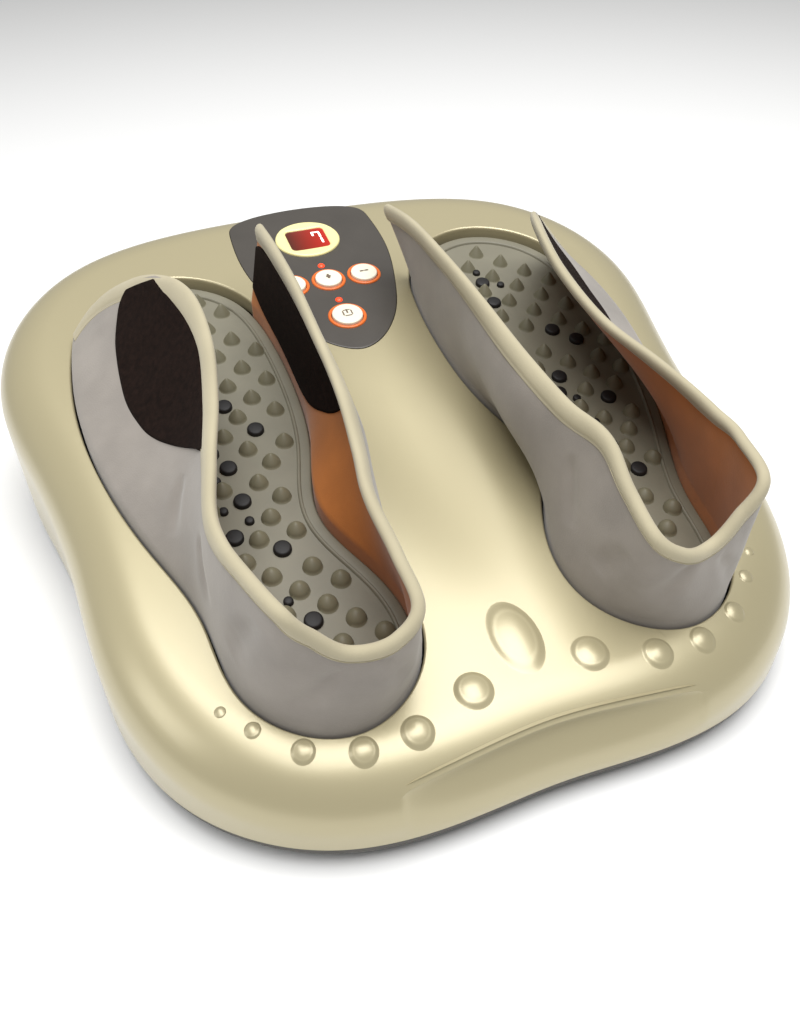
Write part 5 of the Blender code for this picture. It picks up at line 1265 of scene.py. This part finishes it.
def magnet_patches():
    """Magnets as flat black buttons with rounded edges, the small ones as round studs."""
    foot = bpy.context.scene.massager_foot
    patches = []
    for shares, radius, height in (
        (MAGNET_PLACES_SHARES, foot.magnet_radius, MAGNET_HEIGHT),
        (STUD_PLACES_SHARES, foot.stud_radius, STUD_HEIGHT),
    ):
        corners = [(radius, -MAGNET_SINK), (radius, height - MAGNET_SINK), (0, height)]
        profile = rounded_profile(corners, MAGNET_EDGE)
        for share in shares:
            x, y = foot_place(*share)
            grid = turned_grid(profile, 28, (x, y, 0))
            grid[..., 2] += deck_height(grid[..., 1]) - FLOOR_DROP
            patches.append(closed_round(grid, "low"))
    return patches


class MASSAGER_OT_sleeves(bpy.types.Operator):
    """Builds each sleeve: its heel cup, its two sides with their folds, the binding round its edge and the
    fastening patches"""

    bl_idname = "massager.sleeves"
    bl_label = "Sleeves"

    def execute(self, context):
        for side, prefix in SIDES:
            self.heel_cup(side, prefix)
            self.wall(side, prefix, "lateral")
            self.wall(side, prefix, "medial")
            self.binding(side, prefix)
            self.patch(side, prefix, "loop", "lateral", LOOP_PATCH_SHARES)
            self.patch(side, prefix, "hook", "medial", HOOK_PATCH_SHARES)
        return {"FINISHED"}

    def heel_cup(self, side, prefix):
        """The part of the wall round the heel, which stays with the foot plate."""
        share = np.linspace(MEDIAL_SEAM, LATERAL_SEAM, 100)
        cup = self.slab(side, f"{prefix}_heel_cup", share, top_row(share, WALL_TOP_GAP), 1.0, fill=0.9)
        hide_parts(f"{prefix}_sleeve")
        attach(cup, f"{prefix}_plate_group")

    def wall(self, side, prefix, kind):
        """One side of the sleeve: its wall from the front to where the fold turns up, and the gusset
        behind."""
        turn = FOLD_TURN_SHARES[kind]
        if kind == "lateral":
            wall_share = np.linspace(turn, LATERAL_FRONT - LATERAL_TRIM, 100)
            gusset_share = np.linspace(LATERAL_SEAM, turn, 50)
        else:
            wall_share = MEDIAL_FRONT + (turn - MEDIAL_FRONT) * np.linspace(0, 1, 100) ** 1.2
            gusset_share = np.linspace(turn, MEDIAL_SEAM, 50)
        for name, share in (("wall", wall_share), ("gusset", gusset_share)):
            medial_trim = MEDIAL_DROP * (1 - edge_round(share, 0.012))
            top = top_row(share, WALL_TOP_GAP) - medial_trim - CORNER_DROP * corner_turn(share) ** 2
            front_round = edge_round(share, 0.004)
            piece = self.slab(side, f"{prefix}_{kind}_{name}", share, top, front_round, fill=0.85)
            if name == "wall":
                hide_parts(f"{prefix}_{kind}_flap")
            self.bend(piece, side, prefix, kind, climbs=name == "gusset")

    def slab(self, side, name, share, top, front_round, fill):
        """A padded piece of wall over these shares, up to these top rows."""
        low = np.linspace(HEM_ROW, 0, 9)[:-1, None] * np.ones((1, len(share)))
        row = np.concatenate([low, np.linspace(0, 1, 44)[:, None] * top])
        round_ends = edge_taper(len(row), 3)[:, None] * front_round * np.ones(row.shape)
        piece = wall_mesh(name, side, np.broadcast_to(share, row.shape), row, round_ends)
        return piece

    def bend(self, piece, side, prefix, kind, climbs=False):
        """Works out how a piece would turn with its side of the sleeve about the fold. The grade g runs up
        from the fold over the fold zone, and behind the turning place it also climbs along the fold towards
        the seam. The grade is not applied; the piece's transform is only baked into its mesh."""
        rear, tip = fold_line(kind)
        along = unit(tip - rear)
        upward = unit(np.array([0, 0, 1]) - along * along[2])
        length = along @ (sleeve_surface(FOLD_TURN_SHARES[kind], FOLD_ROW_SHARE) - rear)
        grade = upward / bpy.context.scene.massager_sleeve.fold_zone
        if climbs:
            grade = grade + along * FOLD_CLIMB / length
        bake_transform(piece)

    def binding(self, side, prefix):
        """The padded band along the edge, in five pieces that end where the fold turns up and at the
        seams."""
        share, row = bound_edge()
        taper = np.ones(len(share))
        taper[:6] = np.sqrt(1 - (1 - (np.arange(6) + 0.3) / 6) ** 2)
        grid = binding_grid(share, row, taper)
        turns = (FOLD_TURN_SHARES["medial"], MEDIAL_SEAM, LATERAL_SEAM, FOLD_TURN_SHARES["lateral"])
        ends = [0, *np.searchsorted(share, turns), len(share) - 1]
        names = ("medial", "medial_rear", "heel", "lateral_rear", "lateral")
        for name, first, last in zip(names, ends, ends[1:]):
            patches = on_side(side, [closed_round(grid[first:last + 1, ::-1], "low", "high")])
            band = make_mesh(f"{prefix}_{name}_binding", patches, sharp_angle=75)
            band.data.materials.append(materials["binding"])
            if name == "heel":
                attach(band, f"{prefix}_plate_group")
            else:
                self.bend(band, side, prefix, name.split("_")[0], climbs="rear" in name)

    def patch(self, side, prefix, name, kind, shares):
        """A pile patch between its lower edge and the binding, on the outer face of the lateral side or
        the inner face of the medial one."""
        table = np.array(shares)
        share = np.linspace(table[0, 0], table[-1, 0], 110)
        low = smooth_through(table[:, 0], table[:, 1:], share)[:, 0]
        reach = binding_width(share) - PATCH_OVERLAP + PATCH_CORNER * corner_bump(share)
        high = np.maximum(top_row(share, reach), low + 0.002)
        row = low + (high - low) * np.linspace(0, 1, 36)[:, None]
        share = np.broadcast_to(share, row.shape)
        inner, outer = wall_faces(share, row, 1.0)
        _, _, normal = sleeve_slopes(share, row)
        rim = edge_taper(36, 2)[:, None] * edge_taper(110, 2)[None, :]
        rise = (bpy.context.scene.massager_sleeve.patch * rim)[..., None]
        if kind == "lateral":
            face, back = outer + normal * (rise + PATCH_LIFT), outer - normal * PATCH_SINK
        else:
            face, back = inner + normal * PATCH_SINK, inner - normal * (rise + PATCH_LIFT)
        pile = make_mesh(f"{prefix}_{name}_pile", on_side(side, padded_band(face, back)), sharp_angle=80)
        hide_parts(f"{prefix}_{name}_patch")
        pile.data.materials.append(materials["pile"])
        self.bend(pile, side, prefix, kind)


def button_places():
    """Name, x, v and diameter of each push button in the panel's own frame."""
    panel = bpy.context.scene.massager_panel
    return (
        ("left", -panel.button_pitch, panel.button_row, panel.button_diameter),
        ("middle", 0.0, panel.button_row, panel.button_diameter),
        ("right", panel.button_pitch, panel.button_row, panel.button_diameter),
        ("lower", 0.0, panel.lower_button, panel.lower_diameter),
    )


def window_loop(steps):
    """The display window's outline, evenly spaced, about its own middle."""
    panel = bpy.context.scene.massager_panel
    return evenly(rounded_rectangle(panel.window_width, panel.window_length, WINDOW_CORNER, 6), steps)


def on_display(grid):
    """A grid about the middle of the display, set on the sloping deck."""
    return on_panel(grid + (0, bpy.context.scene.massager_panel.display, 0))


def bar_loop(x, v, width, length, roundness, steps):
    """Outline of a thin bar of a mark, whose corners are its lesser side over the roundness."""
    return rounded_rectangle(width, length, min(width, length) / roundness, steps) + (x, v)


class MASSAGER_OT_control_panel(bpy.types.Operator):
    """Builds the control panel: its shield-shaped plate, oval bezel, lit window, buttons, trim rings and
    lamps"""

    bl_idname = "massager.control_panel"
    bl_label = "Control panel"

    def execute(self, context):
        self.plate()
        self.bezel()
        self.window()
        for name, x, v, diameter in button_places():
            place, radius = np.array([x, v, 0]), diameter / 2
            self.button(name, place, radius)
            self.ring(name, place, radius)
            if name in LAMP_TURNS:
                self.lamp(name, place, radius)
        return {"FINISHED"}

    def plate(self):
        """The shield-shaped plate with a rounded edge and a hole for each button."""
        rows = [level(panel_loop(200, -inset), height) for inset, height in PLATE_EDGE]
        top = panel_loop(200, -PLATE_INSET)
        rows += [level(top * share, PLATE_TOP) for share in (0.8, 0.6, 0.4, 0.2, 0)]
        rows.append(level(top * 0, PLATE_LOW))
        plate = make_mesh("panel_plate", [closed_round(on_panel(np.array(rows)))])
        holes = []
        for _, x, v, diameter in button_places():
            hole = circle(64, diameter / 2 + BUTTON_GAP) + (x, v)
            grid = on_panel(np.array([level(hole, -HOLE_CUT), level(hole, HOLE_CUT)]))
            holes.append(closed_round(grid, "low", "high"))
        cut(plate, make_mesh("hole cutter", holes))
        shade(plate, 35)
        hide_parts("control_panel")
        dress(plate, "base", "panel_plastic", materials["panel"])

    def bezel(self):
        """The oval bezel: its section rises from its oval rim over a rounded crest and falls to the
        window."""
        panel = bpy.context.scene.massager_panel
        window = window_loop(200)
        turn = np.arctan2(window[:, 1] / panel.window_length, window[:, 0] / panel.window_width)
        oval = [np.cos(turn) * panel.display_width, np.sin(turn) * panel.display_length]
        oval = np.stack(oval, axis=1) / 2
        rows = [level(oval * (1 - share) + window * share, height) for share, height in BEZEL_SECTION]
        bezel = make_mesh("display_bezel", [hoop(on_display(np.array(rows)))])
        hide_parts("display_ring")
        dress(bezel, "base", "yellow_bezel", materials["bezel"])

    def window(self):
        """The smoked window, domed by D (1 - r^2), with a lit digit of thin bars at its right."""
        panel = bpy.context.scene.massager_panel
        loop = window_loop(120)
        shares = (1, 0.95, 0.8, 0.6, 0.4, 0.2, 0)
        rows = [level(loop, WINDOW_LOW)]
        rows += [level(loop * share, WINDOW_EDGE + WINDOW_DOME * (1 - share**2)) for share in shares]
        lens = make_mesh("display_window", [closed_round(on_display(np.array(rows)), "low")])
        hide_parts("display_lens")
        dress(lens, "base", "smoked_red_window", materials["window"])
        bars = []
        for bar in DIGIT_BARS:
            loop = bar_loop(*bar, 2.2, 3)
            drop = ((loop / (panel.window_width / 2, panel.window_length / 2)) ** 2).max(axis=1)
            high = WINDOW_EDGE + WINDOW_DOME * (1 - drop)
            grid = np.array([level(loop, high - MARK_SINK), level(loop, high + SEGMENT_LIFT)])
            bars.append(closed_round(on_display(grid), "low", "high"))
        digit = make_mesh("display_digit", bars)
        dress(digit, "base", "smoked_red_window", materials["digit"])

    def button(self, name, place, radius):
        """A push button with a round edge and a face domed by D (1 - r^2), and its mark."""
        rise = bpy.context.scene.massager_panel.button_rise
        reach = np.linspace(1, 0, 12)
        domed = rise - FACE_DROP + FACE_DOME * (1 - reach**2)
        face = np.column_stack([(radius - BUTTON_EDGE) * reach, domed])
        turns = np.radians(np.linspace(0, 75, 5))
        edge = np.column_stack([
            radius - BUTTON_EDGE * (1 - np.cos(turns)),
            rise - BUTTON_EDGE_DROP + BUTTON_EDGE * np.sin(turns),
        ])
        profile = np.concatenate([[(radius, BUTTON_FOOT)], edge, face])
        grid = on_panel(turned_grid(profile, 64) + place)
        cap = make_mesh(f"{name}_button_face", [closed_round(grid, "low")], sharp_angle=50)
        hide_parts(f"{name}_button")
        dress(cap, f"{name}_button_cap", "cream_button", materials["button"])
        marks = []
        for bar in BUTTON_MARKS[name]:
            loop = bar_loop(*bar, 2.1, 4)
            high = rise - FACE_DROP + FACE_DOME * (1 - (loop**2).sum(axis=1) / radius**2)
            grid = np.array([level(loop, high - MARK_SINK), level(loop, high + MARK_LIFT)])
            marks.append(closed_round(on_panel(grid + place), "low", "high"))
        mark = make_mesh(f"{name}_button_mark", marks)
        dress(mark, f"{name}_button_cap", "cream_button", materials["mark"])

    def ring(self, name, place, radius):
        """The trim ring of a button, half an ellipse in section."""
        inner = radius + RING_GAP
        outer = inner + bpy.context.scene.massager_panel.ring_width
        turn = np.linspace(0, math.pi, 9)
        middle, half = (inner + outer) / 2, (outer - inner) / 2
        section = np.column_stack([middle + half * np.cos(turn), RING_BASE + RING_ROUND * np.sin(turn)])
        profile = np.concatenate([[(outer, RING_FOOT)], section, [(inner, RING_FOOT)]])
        ring = make_mesh(f"{name}_ring", [hoop(on_panel(turned_grid(profile, 72) + place))], sharp_angle=60)
        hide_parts(f"{name}_button_ring")
        dress(ring, "base", "orange_ring", materials["ring"])

    def lamp(self, name, place, radius):
        """The domed lamp above a button."""
        reach, turn = radius + LAMP_REACH, LAMP_TURNS[name]
        turns = np.radians(np.linspace(0, 90, 7))
        dome = np.column_stack([LAMP_RADIUS * np.cos(turns), LAMP_BASE + LAMP_DOME * np.sin(turns)])
        grid = turned_grid(dome, 32) + place + (reach * math.sin(turn), reach * math.cos(turn), 0)
        lamp = make_mesh(f"{name}_lamp_dome", [closed_round(on_panel(grid), "low")])
        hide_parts(f"{name}_lamp")
        dress(lamp, "base", "red_lamp", materials["lamp"])


class MASSAGER_OT_inner_parts(bpy.types.Operator):
    """Gives the parts inside the case, and those that keep their CAD shape, their finishes"""

    bl_idname = "massager.inner_parts"
    bl_label = "Inner parts"

    def execute(self, context):
        record = frame["record"]
        slots = {entry["node"]: entry["material_slot"] for entry in record["subparts"]}
        for name, node in frame["nodes"].items():
            node.data.materials.clear()
            node.data.materials.append(materials[CAD_FINISHES[slots[name]]])
        return {"FINISHED"}


# Bars of the lit digit: middle, width and length in metres from the window's middle
DIGIT_BARS = (
    (0.0066, 0.0060, 0.0058, 0.0014), (0.0089, 0.0028, 0.0014, 0.0054), (0.0043, 0.0038, 0.0014, 0.0036),
    (0.0089, -0.0034, 0.0014, 0.0056),
)
# Marks of the push buttons: middle, width and length of each bar in metres from the button's middle
BUTTON_MARKS = {
    "left": ((0, 0, 0.0044, 0.0011), (0, 0, 0.0011, 0.0044)),
    "middle": ((0, 0.0004, 0.0016, 0.0046), (0, 0.0004, 0.0032, 0.0020)),
    "right": ((0, 0, 0.0058, 0.0014),),
    "lower": ((0, 0.0026, 0.0044, 0.0009), (0, -0.0026, 0.0044, 0.0009), (-0.0026, 0, 0.0009, 0.0044),
              (0.0026, 0, 0.0009, 0.0044), (0, 0.0014, 0.0011, 0.0040)),
}
CAD_FINISHES = {
    "champagne_paint": "paint",
    "grey_tray_plastic": "tray",
    "rubber": "rubber",
    "zinc_plated_steel": "zinc",
    "olive_plate_plastic": "plate",
    "grey_sleeve_fabric": "fabric",
    "dark_hook_and_loop": "pile",
    "retainer_plastic": "retainer",
    "motor_steel": "steel",
    "sintered_weight": "weight",
    "panel_plastic": "panel",
    "yellow_bezel": "bezel",
    "smoked_red_window": "window",
    "black_display": "display",
    "cream_button": "button",
    "orange_ring": "ring",
    "red_lamp": "lamp",
    "green_board": "board",
    "transformer_core": "core",
    "black_inlet_plastic": "inlet",
}
materials = {}


class MASSAGER_OT_materials(bpy.types.Operator):
    """Makes the finishes of the massager"""

    bl_idname = "massager.materials"
    bl_label = "Finishes"

    def execute(self, context):
        colours = context.scene.massager_colours
        materials["paint"] = champagne_paint()
        # Fine-grained dark grey plastic, dull and even
        materials["tray"] = plain_plastic("spark-grained ABS tray", linear("4A4741"), 0.6)
        # Dull near-black with a slight bloom
        materials["rubber"] = plain_plastic("moulded rubber", linear("1C1C1B"), 0.85, 0.5, 0.05)
        # Cool bright metal with faint streaks
        materials["zinc"] = bare_metal("zinc plated steel", linear("C4C6C8"), 0.35)
        # Warm grey satin plastic
        materials["plate"] = plain_plastic("satin grey ABS plate", colours.plate, 0.5)
        # Darker olive, softer than the plate
        materials["nub"] = plain_plastic("olive soft PVC nubs", linear("716D58"), 0.55)
        # Black with a broad dull gloss
        black = linear("0E0B0A")
        materials["magnet"] = plain_plastic("black enamelled magnet", black, 0.6, 1.0, 0.01, 0.02)
        # Grey cloth with a fine dry relief
        materials["fabric"] = woven_cloth("grey woven polyester", colours.fabric, 0.9, 0.10)
        # Warm orange brown cloth with a soft nap
        materials["lining"] = woven_cloth(
            "orange brown tricot lining", colours.lining, 0.8, 0.08, 0.12, 0.2)
        # Khaki tape, smoother than the cloth
        materials["binding"] = woven_cloth("khaki bias binding", colours.binding, 0.7, 0.06, 0.05, 0.2)
        # Nearly black nap that takes up the light
        materials["pile"] = pile_cloth("black brown hook and loop pile", linear("1B110D"))
        # Dull black moulding
        materials["retainer"] = plain_plastic("black nylon retainer", linear("242423"), 0.6)
        # Bright drawn metal
        materials["steel"] = bare_metal("drawn steel motor can", linear("B4B4B2"), 0.3)
        # Dull dark metal
        materials["weight"] = bare_metal("sintered iron weight", linear("7C7C7E"), 0.5)
        # Dark grey satin plastic
        materials["panel"] = plain_plastic("dark grey satin ABS panel", colours.panel, 0.38)
        # Pale yellow, glossy and a little waxy
        yellow = linear("F2E7A6")
        materials["bezel"] = plain_plastic("pale yellow gloss ABS bezel", yellow, 0.25, 1.0, 0.005, 0.03)
        materials["window"] = smoked_window()
        # White segments, brighter than the window
        materials["digit"] = glowing("lit display segments", linear("FFE9E2"), 1.6)
        # Matt black body
        materials["display"] = plain_plastic("black display body", linear("1A0C0A"), 0.4)
        # Cream, satin and slightly warm
        materials["button"] = plain_plastic("cream ABS button", colours.button, 0.35, 1.0, 0.005, 0.03)
        # Printed brown grey marks
        materials["mark"] = plain_plastic("brown grey pad printing", linear("6E5F50"), 0.5)
        # Soft orange, glossy
        materials["ring"] = plain_plastic("orange ABS trim ring", colours.ring, 0.3, 1.0, 0.005, 0.04)
        # Glowing red orange
        materials["lamp"] = glowing("red indicator lamp", linear("F0401C"), 1.1)
        # Green gloss
        materials["board"] = plain_plastic("green solder mask on fibreglass", linear("2C6E3C"), 0.45)
        # Dark layered metal
        materials["core"] = bare_metal("laminated transformer core", linear("4C4C50"), 0.5, 0.6)
        # Dull black
        materials["inlet"] = plain_plastic("black nylon inlet", linear("201F1E"), 0.5)
        return {"FINISHED"}


def soft_light(name, place, target, size, power, colour=(1, 1, 1)):
    """A square soft box that faces a point."""
    lamp = bpy.data.lights.new(name, "AREA")
    lamp.energy = power
    lamp.size = size
    lamp.color = colour
    light = bpy.data.objects.new(name, lamp)
    light.location = place
    light.rotation_euler = (Vector(target) - Vector(place)).to_track_quat("-Z", "Y").to_euler()
    bpy.context.scene.collection.objects.link(light)


class MASSAGER_OT_stage(bpy.types.Operator):
    """Builds the pale floor, the soft lights and the camera"""

    bl_idname = "massager.stage"
    bl_label = "Stage"

    def execute(self, context):
        scene = context.scene
        ends = np.array([[(-1, -1, 0), (1, -1, 0)], [(-1, 1, 0), (1, 1, 0)]]) * FLOOR_REACH
        floor = make_mesh("floor", [(ends - (0, 0, FLOOR_GAP), False, False, (), 0)])
        material, _, _ = new_material("pale studio floor", linear("F4F4F3"), 0.8)
        floor.data.materials.append(material)
        world = bpy.data.worlds.new("studio")
        world.use_nodes = True
        background = world.node_tree.nodes["Background"]
        background.inputs["Color"].default_value = (1, 1, 1, 1)
        background.inputs["Strength"].default_value = SKY_STRENGTH
        scene.world = world
        soft_light("overhead", (0.08, -0.15, 1.5), (0.08, -0.15, 0), 1.4, 34)
        soft_light("left", (-1.5, -0.1, 1.0), (0, 0, 0.05), 0.7, 4)
        camera_data = bpy.data.cameras.new("camera")
        camera_data.lens, camera_data.sensor_width = CAMERA_LENS, 36
        camera_data.shift_x, camera_data.shift_y = CAMERA_SHIFT
        camera_data.clip_start = 0.01
        camera = bpy.data.objects.new("camera", camera_data)
        flat = math.cos(CAMERA_ELEVATION)
        back = Vector((
            math.sin(CAMERA_AZIMUTH) * flat, -math.cos(CAMERA_AZIMUTH) * flat, math.sin(CAMERA_ELEVATION),
        ))
        camera.location = Vector(CAMERA_TARGET) + back * CAMERA_DISTANCE
        camera.rotation_euler = (-back).to_track_quat("-Z", "Y").to_euler()
        scene.collection.objects.link(camera)
        scene.camera = camera
        scene.view_settings.view_transform = "Standard"
        return {"FINISHED"}


class MASSAGER_PT_panel(bpy.types.Panel):
    """Lists the pieces of the massager"""

    bl_label = "Foot massager"
    bl_idname = "MASSAGER_PT_panel"
    bl_space_type = "VIEW_3D"
    bl_region_type = "UI"
    bl_category = "Massager"

    def draw(self, context):
        for operator in OPERATORS:
            self.layout.operator(operator.bl_idname)


GROUPS = {
    "massager_case": CaseSizes,
    "massager_foot": FootSizes,
    "massager_sleeve": SleeveSizes,
    "massager_panel": PanelSizes,
    "massager_colours": MassagerColours,
}
OPERATORS = (
    MASSAGER_OT_materials,
    MASSAGER_OT_inner_parts,
    MASSAGER_OT_case,
    MASSAGER_OT_domes,
    MASSAGER_OT_tray,
    MASSAGER_OT_foot_plates,
    MASSAGER_OT_sleeves,
    MASSAGER_OT_control_panel,
    MASSAGER_OT_stage,
)


def register():
    for group in (*GROUPS.values(), *OPERATORS, MASSAGER_PT_panel):
        bpy.utils.register_class(group)
    for name, group in GROUPS.items():
        setattr(bpy.types.Scene, name, bpy.props.PointerProperty(type=group))


def unregister():
    for name in GROUPS:
        delattr(bpy.types.Scene, name)
    for group in (MASSAGER_PT_panel, *reversed(OPERATORS), *reversed(GROUPS.values())):
        bpy.utils.unregister_class(group)


def main():
    register()
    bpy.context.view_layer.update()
    for operator in OPERATORS:
        group, name = operator.bl_idname.split(".")
        getattr(getattr(bpy.ops, group), name)()


if __name__ == "__main__":
    main()
